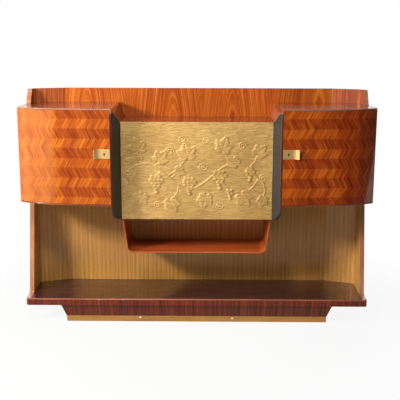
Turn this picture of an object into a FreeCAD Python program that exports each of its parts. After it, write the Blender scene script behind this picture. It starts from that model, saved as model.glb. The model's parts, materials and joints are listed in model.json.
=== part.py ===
"""Bar cabinet with bowed doors and a fall front, in millimetres.

The frame: origin at the centre of the plinth's underside, +X to the right of a person who faces the
cabinet, +Y to the back, +Z up. Every piece is a document object bound to the sheet of driving sizes.
"""
import FreeCAD
import Part
import math
import os
import Sketcher

# The driving sizes, in millimetres, each written once.
SIZES = {
    # overall
    "cabinet_width": 1850.0,
    "side_flare": 13.0,
    "body_depth": 402.0,
    "bay_high": 521.0,
    "cabinet_high": 499.0,
    "gallery_high": 75.0,
    # plinth and slab
    "plinth_width": 1404.0,
    "plinth_depth": 314.0,
    "plinth_setback": 15.0,
    "base_high": 34.0,
    "subplinth_high": 68.0,
    "subplinth_splay": 24.0,
    "subplinth_margin": 2.0,
    "subplinth_wall": 22.0,
    "block_side": 45.0,
    "slab_thick": 38.0,
    "slab_setback": 59.0,
    "slab_bevel": 6.0,
    "slab_corner": 9.0,
    # shell
    "back_thick": 20.0,
    "wall_thick": 24.0,
    "cant_run": 160.0,
    "cant_forward": 58.0,
    "corner_radius": 30.0,
    "wall_foot_deep": 248.0,
    "wall_head_deep": 148.0,
    "wing_deep": 95.0,
    "wing_foot_deep": 132.0,
    "wing_top_deep": 96.0,
    "wing_corner": 12.0,
    "foot_cove": 16.0,
    "foot_toe": 1.5,
    # side cabinets
    "lip_thick": 6.0,
    "board_thick": 20.0,
    "bow_arc_run": 205.0,
    "bow_setback": 98.0,
    "side_thick": 20.0,
    "shelf_thick": 18.0,
    "shelf_set": 75.0,
    "shelf_up": 201.0,
    "shelf_gap": 2.0,
    "stud_radius": 3.0,
    "stud_length": 12.0,
    "stud_front_set": 150.0,
    "stud_back_margin": 17.0,
    # doors
    "door_thick": 22.0,
    "door_gap": 1.5,
    "joint_gap": 1.0,
    "heel_depth": 26.0,
    "heel_wide": 32.0,
    "heel_cove": 7.0,
    "strip_wide": 6.5,
    "strip_deep": 8.0,
    # door hinges
    "hinge_high": 60.0,
    "hinge_end_margin": 92.0,
    "leaf_wide": 20.0,
    "leaf_thick": 1.3,
    "leaf_sink": 1.0,
    "barrel_radius": 2.5,
    "barrel_gap": 0.4,
    "knuckle_gap": 0.3,
    "pin_radius": 1.1,
    "pin_clearance": 0.05,
    # bar compartment
    "bar_width": 796.0,
    "reveal_depth": 113.0,
    "reveal_splay": 32.0,
    "cheek_thick": 20.0,
    "cheek_nose_up": 85.0,
    "cheek_nose_set": 105.0,
    "cheek_nose_radius": 140.0,
    "deck_drop": 78.0,
    "deck_thick": 18.0,
    "floor_thick": 18.0,
    "shoulder_thick": 22.0,
    "mirror_thick": 4.0,
    "mirror_margin": 14.0,
    "glass_thick": 6.0,
    "glass_deep": 130.0,
    "glass_up": 245.0,
    "glass_gap": 2.0,
    # fall front
    "flap_high": 515.0,
    "flap_gap": 1.5,
    "flap_thick": 16.0,
    "relief_thick": 9.0,
    "relief_proud": 4.0,
    "flap_cove": 8.0,
    "flap_barrel_radius": 3.0,
    "flap_hinge_long": 70.0,
    "flap_hinge_pitch": 290.0,
    "flap_leaf_wide": 13.0,
    "flap_pin_radius": 1.4,
    "catch_radius": 4.5,
    "catch_long": 14.0,
    "catch_ball_radius": 3.0,
    "catch_ball_gap": 0.4,
    "catch_pitch": 250.0,
    # quadrant stays
    "stay_radius": 160.0,
    "stay_wide": 10.0,
    "stay_thick": 3.0,
    "stay_inset": 14.0,
    "stay_foot_wide": 13.0,
    "stay_foot_high": 44.0,
    "stay_foot_thick": 2.5,
    "guide_deep": 8.0,
    "guide_clear": 1.0,
    "guide_wall": 3.0,
    "guide_set": 2.5,
    "stop_radius": 2.0,
    "stop_long": 7.0,
    "stop_gap": 0.3,
    "slot_clear": 2.0,
    "stay_tail_long": 7.0,
    # tray
    "tray_drop": 195.0,
    "tray_lean": 24.0,
    "tray_thick": 8.0,
    "tray_corner": 40.0,
    "tray_set": 28.0,
    # pulls and locks
    "pull_up": 271.0,
    "pull_high": 48.0,
    "pull_plate": 48.0,
    "pull_thick": 2.2,
    "pull_lip": 33.0,
    "pull_rise": 18.0,
    "key_set": 30.0,
    "key_radius": 2.8,
    "key_slot": 2.4,
    "key_drop": 8.0,
    "lock_wide": 56.0,
    "lock_high": 52.0,
    "lock_deep": 14.0,
    "bolt_long": 30.0,
    "bolt_high": 12.0,
    "bolt_deep": 4.0,
    "bolt_throw": 8.0,
    "bolt_clear": 0.3,
    "mortise_play": 3.0,
    # one overrun serves every cut
    "overrun": 20.0,
}
SIDES = {"left": -1, "right": 1}
KNUCKLES = 3
BOW_RAKE_SHARE = 0.09
STAY_SWING = 90.0
DOOR_HINGE_SHARES = (0, 1)
# how a sketch numbers its points
ORIGIN = (-1, 1)
START, END, CENTRE = 1, 2, 3


class Size:
    """A length that carries its value and the text that binds it to the sheet."""

    def __init__(self, value, text):
        self.value = float(value)
        self.text = text

    def join(self, other, sign, value):
        return Size(value, "(" + self.text + " " + sign + " " + other.text + ")")

    def __add__(self, other):
        other = size(other)
        return self.join(other, "+", self.value + other.value)

    def __sub__(self, other):
        other = size(other)
        return self.join(other, "-", self.value - other.value)

    def __mul__(self, other):
        other = size(other)
        return self.join(other, "*", self.value * other.value)

    def __truediv__(self, other):
        other = size(other)
        return self.join(other, "/", self.value / other.value)

    def __radd__(self, other):
        return size(other) + self

    def __rsub__(self, other):
        return size(other) - self

    def __rmul__(self, other):
        return size(other) * self

    def __neg__(self):
        return size(0) - self


def size(number):
    """A plain number as a Size; a Size is returned as it is."""
    return number if isinstance(number, Size) else Size(number, repr(float(number)))


def root(number):
    """The square root of a Size."""
    return Size(math.sqrt(number.value), "sqrt(" + number.text + ")")


class Sheet:
    """The spreadsheet of driving sizes; each size is read as an attribute."""

    def __init__(self, document, sizes):
        sheet = document.addObject("Spreadsheet::Sheet", "dims")
        for row, (name, value) in enumerate(sizes.items(), start=1):
            sheet.set("A" + str(row), name)
            sheet.set("B" + str(row), repr(value))
            sheet.setAlias("B" + str(row), name)
            setattr(self, name, Size(value, "dims." + name))


document = FreeCAD.newDocument("bar_cabinet")
d = Sheet(document, SIZES)
document.recompute()
pieces = {}


# Heights above the floor
z_base = d.base_high
z_slab_low = z_base + d.subplinth_high
z_slab = z_slab_low + d.slab_thick
z_low = z_slab + d.bay_high
z_top = z_low + d.cabinet_high
z_gallery = z_top + d.gallery_high
z_deck = z_top - d.deck_drop
z_flap = z_deck - d.flap_high
z_tray = z_flap - d.tray_drop
z_floor = z_low + d.board_thick
z_ceiling = z_top - d.board_thick
z_door_low = z_low + d.lip_thick + d.door_gap
z_door_top = z_top - d.lip_thick - d.door_gap
z_key = z_low + d.pull_up

# Places from front to back
y_rear = d.plinth_depth / 2 + d.plinth_setback
y_back = y_rear - d.back_thick
y_front = y_back - d.body_depth
y_heel = y_front + d.bow_setback + d.heel_depth
y_side = y_heel + d.joint_gap
y_wing = y_back - d.wing_deep
y_relief = y_front + d.reveal_depth - d.relief_proud
y_flap = y_relief + d.relief_thick
y_flap_back = y_flap + d.flap_thick
y_bar = y_flap_back + d.joint_gap
y_tray = y_front + d.reveal_depth + d.tray_set

# Places from the middle to one side
x_out = d.cabinet_width / 2
x_wall = x_out - d.side_flare
x_wall_in = x_wall - d.wall_thick
x_side_in = x_wall - d.side_thick
x_seam = x_wall_in - d.cant_run
x_bar = d.bar_width / 2
x_mouth = x_bar + d.reveal_splay
x_strip = x_mouth + d.strip_wide
x_door = x_strip + d.door_gap
x_cheek = x_bar + d.cheek_thick
x_flap = x_bar - d.flap_gap

# The canted back corner: its slope, its tangent points and its two radii
cant_slope = d.cant_forward / d.cant_run
cant_norm = root(1 + cant_slope * cant_slope)
cant_turn = root((cant_norm - cant_slope) / (cant_norm + cant_slope))
inner_run = d.corner_radius * cant_turn
x_joint = x_wall_in - inner_run / cant_norm
y_joint = y_back - cant_slope * (x_joint - x_seam)
y_corner = y_back - d.cant_forward - inner_run
outer_run = (x_wall - x_joint) * cant_norm
outer_radius = outer_run / cant_turn
y_outer = y_rear - cant_slope * (x_wall - x_seam) - outer_run

# The bowed front: a raked flat, then one arc tangent to it
x_bow = x_out - d.bow_arc_run
rake = size(BOW_RAKE_SHARE)
rake_norm = root(1 + rake * rake)
bow_flat_fall = rake * (x_bow - x_mouth)
y_bow = y_front + bow_flat_fall
bow_fall = d.bow_setback - bow_flat_fall
bow_offset = (bow_fall - rake * d.bow_arc_run) / rake_norm
bow_radius = (d.bow_arc_run * d.bow_arc_run + bow_fall * bow_fall) / (bow_offset * 2)
x_bow_centre = x_bow - bow_radius * rake / rake_norm
y_bow_centre = y_bow + bow_radius / rake_norm


def flat_point(x, depth):
    """A point behind the door's flat: on the front face above x, then `depth` square to the face."""
    return x - depth * rake / rake_norm, y_front + rake * (x - x_mouth) + depth / rake_norm


def flat_y(x, depth):
    """How far back a surface `depth` behind the flat front lies at x."""
    return y_front + rake * (x - x_mouth) + depth * rake_norm


def arc_y(x, depth):
    """How far back a surface `depth` behind the arc lies at x."""
    radius = bow_radius - depth
    across = x - x_bow_centre
    return y_bow_centre - root(radius * radius - across * across)


# Sketch planes of a body, and the sign that turns a place along the plane's normal into an offset
PLANES = {"top": ("XY_Plane", 1), "front": ("XZ_Plane", -1), "side": ("YZ_Plane", 1)}


def new_body(label):
    body = document.addObject("PartDesign::Body", label)
    body.Label = label
    pieces[label] = body
    return body


def new_sketch(body, plane, place):
    role, sign = PLANES[plane]
    sketch = body.newObject("Sketcher::SketchObject", body.Name + "_sketch")
    origin = [feature for feature in body.Origin.OriginFeatures if feature.Role == role][0]
    sketch.AttachmentSupport = [(origin, "")]
    sketch.MapMode = "FlatFace"
    sketch.setExpression("AttachmentOffset.Base.z", (size(place) * sign).text)
    return sketch


def vector(point):
    return FreeCAD.Vector(point[0].value, point[1].value, 0)


def edge_between(start, end, arc):
    """A line, or an arc of a given radius that bulges to the left (+1) or right (-1) of its way."""
    first = vector(start)
    last = vector(end)
    if arc is None:
        return Part.LineSegment(first, last)
    radius, bulge = arc
    chord = last - first
    half = chord.Length / 2
    rise = radius.value - math.sqrt(max(radius.value ** 2 - half ** 2, 0.0))
    left = FreeCAD.Vector(-chord.y, chord.x, 0).normalize()
    return Part.Arc(first, (first + last) / 2 + left * rise * bulge, last)


def end_at(sketch, edge, point):
    """Which end of an edge lies at a point, its start or its end."""
    gaps = [(sketch.getPoint(edge, end) - point).Length for end in (START, END)]
    return START if gaps[0] < gaps[1] else END


def bind(sketch, constraint, bound):
    number = sketch.addConstraint(constraint)
    sketch.setExpression("Constraints[" + str(number) + "]", bound.text)


def outline(body, plane, place, corners):
    """A closed outline. A corner is (x, y), or (x, y, (radius, bulge)) where an arc leaves it."""
    sketch = new_sketch(body, plane, place)
    corners = [(size(c[0]), size(c[1]), c[2] if len(c) > 2 else None) for c in corners]
    count = len(corners)
    for index, corner in enumerate(corners):
        following = corners[(index + 1) % count]
        sketch.addGeometry(edge_between(corner, following, corner[2]), False)
    for index, corner in enumerate(corners):
        before = (index - 1) % count
        here = vector(corner)
        start = end_at(sketch, index, here)
        finish = end_at(sketch, before, here)
        sketch.addConstraint(Sketcher.Constraint("Coincident", before, finish, index, start))
        across = Sketcher.Constraint("DistanceX", *ORIGIN, index, start, corner[0].value)
        up = Sketcher.Constraint("DistanceY", *ORIGIN, index, start, corner[1].value)
        bind(sketch, across, corner[0])
        bind(sketch, up, corner[1])
        if corner[2] is not None:
            radius = corner[2][0]
            bind(sketch, Sketcher.Constraint("Radius", index, radius.value), radius)
    return sketch


def round_outline(body, plane, place, x, y, radius):
    """A circle with its centre at (x, y)."""
    sketch = new_sketch(body, plane, place)
    centre = FreeCAD.Vector(size(x).value, size(y).value, 0)
    sketch.addGeometry(Part.Circle(centre, FreeCAD.Vector(0, 0, 1), radius.value), False)
    bind(sketch, Sketcher.Constraint("DistanceX", *ORIGIN, 0, CENTRE, size(x).value), size(x))
    bind(sketch, Sketcher.Constraint("DistanceY", *ORIGIN, 0, CENTRE, size(y).value), size(y))
    bind(sketch, Sketcher.Constraint("Radius", 0, radius.value), radius)
    return sketch


def pad(body, sketch, length, back=False):
    """Adds a prism along the sketch plane's normal, or against it where `back` is true."""
    feature = body.newObject("PartDesign::Pad", body.Name + "_pad")
    feature.Profile = sketch
    feature.setExpression("Length", size(length).text)
    feature.Reversed = back
    return feature


def pocket(body, sketch, length, ahead=False):
    """Cuts a prism against the sketch plane's normal, or along it where `ahead` is true."""
    document.recompute()
    before = body.Shape.Volume
    feature = body.newObject("PartDesign::Pocket", body.Name + "_pocket")
    feature.Profile = sketch
    feature.setExpression("Length", size(length).text)
    feature.Reversed = ahead
    document.recompute()
    if not body.Shape.Volume < before:
        raise RuntimeError(body.Label + ": a cut removed nothing")
    return feature


def place(feature, x, y, z):
    for axis, at in (("x", x), ("y", y), ("z", z)):
        feature.setExpression("Placement.Base." + axis, size(at).text)


def block(name, low, high):
    """A box between two opposite corners, as a Part primitive."""
    feature = document.addObject("Part::Box", name)
    for side, start, end in zip(("Length", "Width", "Height"), low, high):
        feature.setExpression(side, (size(end) - start).text)
    place(feature, *low)
    return feature


TURNS = {"x": FreeCAD.Rotation(FreeCAD.Vector(0, 1, 0), 90),
         "y": FreeCAD.Rotation(FreeCAD.Vector(1, 0, 0), -90),
         "z": FreeCAD.Rotation()}


def rod(name, axis, start, radius, length):
    """A cylinder from `start` along +x, +y or +z."""
    feature = document.addObject("Part::Cylinder", name)
    feature.Placement = FreeCAD.Placement(FreeCAD.Vector(), TURNS[axis])
    feature.setExpression("Radius", size(radius).text)
    feature.setExpression("Height", size(length).text)
    place(feature, *start)
    return feature


def joined(name, features):
    feature = document.addObject("Part::MultiFuse", name)
    feature.Shapes = features
    return feature


def less(name, base, tool):
    feature = document.addObject("Part::Cut", name)
    feature.Base = base
    feature.Tool = tool
    return feature


def piece(label, feature):
    feature.Label = label
    pieces[label] = feature
    return feature


def group(label, features):
    """Identical fasteners that share one node."""
    feature = document.addObject("Part::Compound", label)
    feature.Links = features
    return piece(label, feature)


def mirrored(side, corners):
    """Right-hand corners as they are, or their mirror image with its arcs turned too."""
    result = []
    for corner in corners:
        arc = [] if len(corner) < 3 else [(corner[2][0], corner[2][1] * side)]
        result.append((size(corner[0]) * side, corner[1], *arc))
    return result


# Plinth and slab


def base_board():
    """The board that stands on the floor, with its gilt edge."""
    half_x = d.plinth_width / 2
    half_y = d.plinth_depth / 2
    piece("base_board", block("base_board", (-half_x, -half_y, 0), (half_x, half_y, z_base)))


def plinth_outline(body, height, spread, inset):
    half = d.plinth_width / 2 + d.subplinth_margin + spread - inset
    front = -d.plinth_depth / 2 - d.subplinth_margin - spread + inset
    back = d.plinth_depth / 2 - inset
    corners = [(-half, front), (half, front), (half, back), (-half, back)]
    return outline(body, "top", height, corners)


def sub_plinth():
    """Four splayed rails mitred into a frame; the back rail stands upright."""
    body = new_body("sub_plinth")
    low = plinth_outline(body, z_base, size(0), size(0))
    high = plinth_outline(body, z_slab_low, d.subplinth_splay, size(0))
    loft = body.newObject("PartDesign::AdditiveLoft", "sub_plinth_loft")
    loft.Profile = low
    loft.Sections = [high]
    loft.Ruled = True
    hollow = plinth_outline(body, z_slab_low, size(0), d.subplinth_wall)
    pocket(body, hollow, d.subplinth_high)


def plinth_blocks():
    """Glue blocks in the four corners of the plinth frame."""
    half_x = d.plinth_width / 2 + d.subplinth_margin - d.subplinth_wall
    front = -d.plinth_depth / 2 - d.subplinth_margin + d.subplinth_wall
    back = d.plinth_depth / 2 - d.subplinth_wall
    blocks = []
    for x_low in (-half_x, half_x - d.block_side):
        for y_low in (front, back - d.block_side):
            low = (x_low, y_low, z_base)
            high = (x_low + d.block_side, y_low + d.block_side, z_slab_low)
            blocks.append(block("plinth_block", low, high))
    group("plinth_blocks", blocks)


def symmetric(right):
    """A whole outline from its right half, listed from front to back."""
    left = [(-corner[0], corner[1], *before[2:])
            for corner, before in zip(right[:0:-1], right[-2::-1])]
    return right + left + [(-right[0][0], right[0][1])]


def bottom_slab():
    """The floor of the open bay, with canted front corners and a bevel round its front."""
    body = new_body("bottom_slab")
    front = y_front + d.slab_setback
    right = [(x_wall - d.slab_corner, front), (x_wall, front + d.slab_corner),
             (x_wall, y_outer, (outer_radius, -1)), (x_joint, y_joint + d.back_thick), (x_seam, y_rear)]
    pad(body, outline(body, "top", z_slab_low, symmetric(right)), d.slab_thick)
    document.recompute()
    edge = [name for name, found in edges_of(body) if is_front_edge(found, front, z_slab)]
    board = body.Tip
    chamfer = body.newObject("PartDesign::Chamfer", "bottom_slab_bevel")
    chamfer.Base = (board, edge)
    chamfer.setExpression("Size", d.slab_bevel.text)


def edges_of(body):
    return [("Edge" + str(i), edge) for i, edge in enumerate(body.Shape.Edges, start=1)]


def is_front_edge(edge, front, height):
    """True for the edges of the slab's upper face at its front and its two canted corners."""
    ends = [vertex.Point for vertex in edge.Vertexes]
    near = front.value + d.slab_corner.value * 1.01
    return all(abs(p.z - height.value) < 1e-6 and p.y < near for p in ends)


# Shell


def back_panel():
    low = (-x_seam, y_back, z_slab)
    piece("back_panel", block("back_panel", low, (x_seam, y_rear, z_gallery)))


def canted_panel(name, side):
    """The flat panel that turns from the straight back towards the side."""
    body = new_body(name + "_canted_panel")
    y_joint_rear = y_joint + d.back_thick
    corners = [(x_seam, y_back), (x_joint, y_joint), (x_joint, y_joint_rear), (x_seam, y_rear)]
    pad(body, outline(body, "top", z_slab, mirrored(side, corners)), z_gallery - z_slab)


def side_wall(name, side):
    """Side wall with its bent back corner. Its front edge rakes back and steps under the cabinet.

    Above the cabinet it goes on as a wing. Wall and wing both end in a cove at the foot.
    """
    body = new_body(name + "_side_wall")
    y_foot = y_back - d.wall_foot_deep
    y_toe = y_foot - d.foot_cove
    plan = [(x_wall_in, y_toe), (x_wall, y_toe), (x_wall, y_outer, (outer_radius, -1)),
            (x_joint, y_joint + d.back_thick), (x_joint, y_joint, (d.corner_radius, 1)),
            (x_wall_in, y_corner)]
    pad(body, outline(body, "top", z_slab, mirrored(side, plan)), z_gallery - z_slab)
    y_head = y_back - d.wall_head_deep
    y_wing_foot = y_back - d.wing_foot_deep
    y_wing_toe = y_wing_foot - d.foot_cove
    y_top = y_back - d.wing_top_deep
    y_clear = y_toe - d.overrun
    z_clear = z_gallery + d.overrun
    cove = (d.foot_cove, -1)
    elevation = [(y_clear, z_slab - d.overrun), (y_toe, z_slab - d.overrun),
                 (y_toe, z_slab + d.foot_toe, cove), (y_foot, z_slab + d.foot_toe + d.foot_cove),
                 (y_head, z_low), (y_wing, z_low), (y_wing, z_top), (y_wing_toe, z_top),
                 (y_wing_toe, z_top + d.foot_toe, cove),
                 (y_wing_foot, z_top + d.foot_toe + d.foot_cove),
                 (y_top, z_gallery - d.wing_corner, (d.wing_corner, 1)),
                 (y_top + d.wing_corner, z_gallery), (y_top + d.wing_corner, z_clear),
                 (y_clear, z_clear)]
    near = x_wall_in * side if side > 0 else -x_wall
    cut = outline(body, "side", near - d.overrun, elevation)
    pocket(body, cut, d.wall_thick + d.overrun * 2, ahead=True)


# Side cabinets


def cabinet_rear(x_inner):
    """The part of a cabinet board's outline from its outer front to its inner back corner."""
    return [(x_wall, y_wing), (x_wall_in, y_wing), (x_wall_in, y_corner, (d.corner_radius, -1)),
            (x_joint, y_joint), (x_seam, y_back), (x_inner, y_back)]


def lip_front():
    """The front of a lip, flush with the door's face."""
    return [(x_strip, flat_y(x_strip, 0)), (x_bow, y_bow, (bow_radius, -1)),
            (x_out, y_front + d.bow_setback), (x_out, y_side + d.heel_cove)]


def core_front():
    """The front of a board's core, set back behind the door and coved at the hinge."""
    depth = d.door_thick + d.door_gap
    x_heel = x_out - d.heel_wide - d.door_gap
    x_flat, y_flat = flat_point(x_bow, depth)
    return [(x_strip, flat_y(x_strip, depth)), (x_flat, y_flat, (bow_radius - depth, -1)),
            (x_heel, arc_y(x_heel, depth)), (x_heel, y_side), (x_out - d.heel_cove, y_side),
            (x_out, y_side + d.heel_cove)]


def shoulder_x(z):
    """Where the shoulder's sloping face lies at height z."""
    return x_bar + (x_mouth - x_bar) * (z - z_deck) / d.deck_drop


def splay_corners():
    """The space in front of the splayed reveal, for the cuts of the pieces that end on it."""
    x_clear = x_bar - d.overrun
    y_clear = y_front - d.overrun
    y_reveal = y_front + d.reveal_depth
    return [(x_clear, y_clear), (x_mouth, y_clear), (x_mouth, y_front),
            (x_bar, y_reveal), (x_clear, y_reveal)]


def cabinet_top(name, side):
    """Top board: a core behind the door and a lip over it, with its inner edge on the shoulder's slope."""
    body = new_body(name + "_cabinet_top")
    x_inner = shoulder_x(z_ceiling)
    mouth = [(x_inner, y_front), (x_strip, y_front)]
    core = mouth + core_front() + cabinet_rear(x_inner)
    lip = [(x_inner, y_front)] + lip_front() + cabinet_rear(x_inner)
    pad(body, outline(body, "top", z_ceiling, mirrored(side, core)), d.board_thick)
    front = outline(body, "top", z_top - d.lip_thick, mirrored(side, lip))
    pad(body, front, d.lip_thick)
    wedge = [(x_inner, z_ceiling), (x_mouth, z_top), (x_mouth, z_top + d.overrun),
             (x_inner - d.overrun, z_top + d.overrun), (x_inner - d.overrun, z_ceiling)]
    slope = outline(body, "front", y_front - d.overrun, mirrored(side, wedge))
    pocket(body, slope, d.body_depth + d.overrun * 2)
    splay = outline(body, "top", z_top + d.overrun, mirrored(side, splay_corners()))
    pocket(body, splay, d.board_thick + d.overrun * 2)


def cabinet_bottom(name, side):
    """Bottom board: a lip under the door and a core behind it, cut to the cheek's outer face."""
    body = new_body(name + "_cabinet_bottom")
    corner = (x_cheek, y_front + d.reveal_depth)
    core = [corner] + core_front() + cabinet_rear(x_cheek)
    lip = [corner, core_front()[0]] + lip_front() + cabinet_rear(x_cheek)
    pad(body, outline(body, "top", z_low, mirrored(side, lip)), d.lip_thick)
    rest = d.board_thick - d.lip_thick
    pad(body, outline(body, "top", z_low + d.lip_thick, mirrored(side, core)), rest)


def outer_side(name, side):
    """The flared outer side of a cabinet, with mortises for the fixed hinge leaves."""
    body = new_body(name + "_outer_side")
    corners = [(x_side_in, y_side), (x_out - d.heel_cove, y_side), (x_out, y_side + d.heel_cove),
               (x_wall, y_wing), (x_side_in, y_wing)]
    pad(body, outline(body, "top", z_floor, mirrored(side, corners)), z_ceiling - z_floor)
    leaf_mortises(body, side, y_side)


def hinge_heights():
    """The lower ends of a door's two hinges."""
    travel = z_door_top - z_door_low - d.hinge_end_margin * 2 - d.hinge_high
    return [z_door_low + d.hinge_end_margin + travel * share for share in DOOR_HINGE_SHARES]


x_pin = x_out - d.barrel_radius
y_pin = y_heel + d.joint_gap / 2


def leaf_mortises(body, side, y_start):
    """Shallow recesses for the hinge leaves, cut backwards from y_start."""
    for z_hinge in hinge_heights():
        z_end = z_hinge + d.hinge_high
        x_in = x_pin - d.leaf_wide
        x_end = x_out + d.overrun
        corners = [(x_in, z_hinge), (x_end, z_hinge), (x_end, z_end), (x_in, z_end)]
        recess = outline(body, "front", y_start, mirrored(side, corners))
        pocket(body, recess, d.leaf_sink)


def door_panel(name, side):
    """Bowed door with a square heel for its hinges, a bore for the key and two leaf recesses."""
    body = new_body(name + "_door_panel")
    x_heel = x_out - d.heel_wide
    inner_end = flat_y(x_door, d.door_thick)
    x_flat, y_flat = flat_point(x_bow, d.door_thick)
    corners = [(x_door, flat_y(x_door, 0)), (x_bow, y_bow, (bow_radius, -1)),
               (x_out, y_front + d.bow_setback), (x_out, y_heel - d.heel_cove),
               (x_out - d.heel_cove, y_heel), (x_heel, y_heel),
               (x_heel, arc_y(x_heel, d.door_thick), (bow_radius - d.door_thick, 1)),
               (x_flat, y_flat), (x_door, inner_end)]
    pad(body, outline(body, "top", z_door_low, mirrored(side, corners)), z_door_top - z_door_low)
    bore = round_outline(body, "front", y_front - d.overrun, x_key * side, z_key, d.key_radius)
    pocket(body, bore, d.overrun + bow_flat_fall + d.door_thick + d.overrun)
    leaf_mortises(body, side, y_heel - d.leaf_sink)


def shelf(name, side):
    """A loose shelf cut to the shape of its cabinet."""
    body = new_body(name + "_shelf")
    z_shelf = z_low + d.shelf_up
    x_in = x_cheek + d.shelf_gap
    x_end = x_wall_in - d.shelf_gap
    y_shelf = y_front + d.shelf_set
    y_end = y_back - d.shelf_gap
    corners = [(x_in, y_front + d.reveal_depth), (x_strip, y_shelf), (x_bow, y_shelf),
               (x_end, y_side), (x_end, y_corner),
               (x_joint - d.shelf_gap, y_joint - d.shelf_gap),
               (x_seam - d.shelf_gap, y_end), (x_in, y_end)]
    pad(body, outline(body, "top", z_shelf, mirrored(side, corners)), d.shelf_thick)


def shelf_studs(name, side):
    """Brass studs under a shelf: two on the cheek and two on the outer side."""
    studs = []
    z_stud = z_low + d.shelf_up - d.stud_radius
    for x_start in (x_cheek, x_side_in - d.stud_length):
        for y_stud in (y_front + d.stud_front_set, y_wing - d.stud_back_margin):
            start = x_start * side if side > 0 else -(x_start + d.stud_length)
            at = (start, y_stud, z_stud)
            studs.append(rod(name + "_stud", "x", at, d.stud_radius, d.stud_length))
    group(name + "_shelf_studs", studs)


# Door hinges


def bank(count, length):
    """Start shares and the length of each knuckle of a hinge."""
    return [(length * number / count, length / count) for number in range(count)]


def door_leaf(name, side, z_hinge, fixed):
    """One leaf of a door hinge: a plate with the odd or the even knuckles, bored for the pin."""
    y_low = y_side + d.leaf_sink - d.leaf_thick if fixed else y_heel - d.leaf_sink
    x_plate = x_pin - d.barrel_radius - d.barrel_gap
    z_end = z_hinge + d.hinge_high

    def sided(low, high):
        ends = (low[0] * side, high[0] * side)
        ends = ends if side > 0 else ends[::-1]
        return (ends[0], low[1], low[2]), (ends[1], high[1], high[2])

    plate = sided((x_pin - d.leaf_wide, y_low, z_hinge), (x_plate, y_low + d.leaf_thick, z_end))
    parts = [block(name, *plate)]
    for number, (start, length) in enumerate(bank(KNUCKLES, d.hinge_high)):
        if (number % 2 == 0) == fixed:
            z_start = z_hinge + start + d.knuckle_gap / 2
            high = length - d.knuckle_gap
            tab = sided((x_plate, y_low, z_start), (x_pin, y_low + d.leaf_thick, z_start + high))
            parts.append(block(name + "_tab", *tab))
            at = (x_pin * side, y_pin, z_start)
            parts.append(rod(name + "_knuckle", "z", at, d.barrel_radius, high))
    at = (x_pin * side, y_pin, z_hinge - d.overrun)
    radius = d.pin_radius if fixed else d.pin_radius + d.pin_clearance
    bore = rod(name + "_bore", "z", at, radius, d.hinge_high + d.overrun * 2)
    return less(name + "_leaf", joined(name + "_blank", parts), bore)


def door_hinges(name, side):
    for kind, fixed in (("hinge_case_leaves", True), ("hinge_door_leaves", False)):
        leaves = [door_leaf(name, side, z_hinge, fixed) for z_hinge in hinge_heights()]
        group(name + "_" + kind, leaves)
    pins = [rod(name + "_pin", "z", (x_pin * side, y_pin, z_hinge), d.pin_radius, d.hinge_high)
            for z_hinge in hinge_heights()]
    group(name + "_hinge_pins", pins)


# Pulls and locks
x_key = x_door + d.key_set


def pull(name, side):
    """Brass pull: a flat plate round the keyhole whose outer end sweeps up into a finger lip."""
    body = new_body(name + "_pull")
    x_near = x_door + d.door_gap / 2
    x_bend = x_near + d.pull_plate
    middle = (d.pull_lip * d.pull_lip + d.pull_rise * d.pull_rise) / (d.pull_rise * 2)
    face = middle - d.pull_thick / 2
    rear = middle + d.pull_thick / 2
    lean = d.pull_lip / middle
    drop = (middle - d.pull_rise) / middle
    corners = [flat_point(x_near, size(0)), flat_point(x_near, -d.pull_thick),
               (*flat_point(x_bend, -d.pull_thick), (face, 1)),
               flat_point(x_bend + face * lean, face * drop - rear),
               (*flat_point(x_bend + rear * lean, rear * drop - rear), (rear, -1)),
               flat_point(x_bend, size(0))]
    z_pull = z_key - d.pull_high / 2
    pad(body, outline(body, "top", z_pull, mirrored(side, corners)), d.pull_high)
    through = d.overrun + bow_flat_fall
    eye = round_outline(body, "front", y_front - d.overrun, x_key * side, z_key, d.key_radius)
    pocket(body, eye, through)
    half = d.key_slot / 2
    slot = [(x_key - half, z_key), (x_key + half, z_key), (x_key + half, z_key - d.key_drop),
            (x_key - half, z_key - d.key_drop)]
    pocket(body, outline(body, "front", y_front - d.overrun, mirrored(side, slot)), through)


def bolt_corners(clear, end):
    """Plan of the bolt, or of its channel where `clear` is the play round it."""
    mid = d.door_thick + d.lock_deep / 2
    near = mid - d.bolt_deep / 2 - clear
    far = mid + d.bolt_deep / 2 + clear
    x_near = x_door + d.door_gap
    return [flat_point(x_near - end, near), flat_point(x_near + d.bolt_long + clear, near),
            flat_point(x_near + d.bolt_long + clear, far), flat_point(x_near - end, far)]


def lock(name, side):
    """Lock case on the door's inner face, with the bolt in its channel."""
    case = new_body(name + "_lock_case")
    x_near = x_door + d.door_gap
    back = d.door_thick + d.lock_deep
    corners = [flat_point(x_near, d.door_thick), flat_point(x_near + d.lock_wide, d.door_thick),
               flat_point(x_near + d.lock_wide, back), flat_point(x_near, back)]
    z_case = z_key - d.lock_high / 2
    pad(case, outline(case, "top", z_case, mirrored(side, corners)), d.lock_high)
    high = d.bolt_high + d.bolt_clear * 2
    channel = mirrored(side, bolt_corners(d.bolt_clear, d.overrun))
    pocket(case, outline(case, "top", z_key + high / 2, channel), high)
    bolt = new_body(name + "_lock_bolt")
    z_bolt = z_key - d.bolt_high / 2
    plan = mirrored(side, bolt_corners(size(0), size(0)))
    pad(bolt, outline(bolt, "top", z_bolt, plan), d.bolt_high)


# Bar compartment


def nose_corners():
    """The space under the cheek's rounded nose, in side elevation."""
    y_nose = y_front + d.cheek_nose_set
    z_nose = z_flap + d.cheek_nose_up
    y_clear = y_front - d.overrun
    z_clear = z_flap - d.overrun
    return [(y_clear, z_nose), (y_front, z_nose, (d.cheek_nose_radius, -1)), (y_nose, z_flap),
            (y_nose, z_clear), (y_clear, z_clear)]


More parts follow.
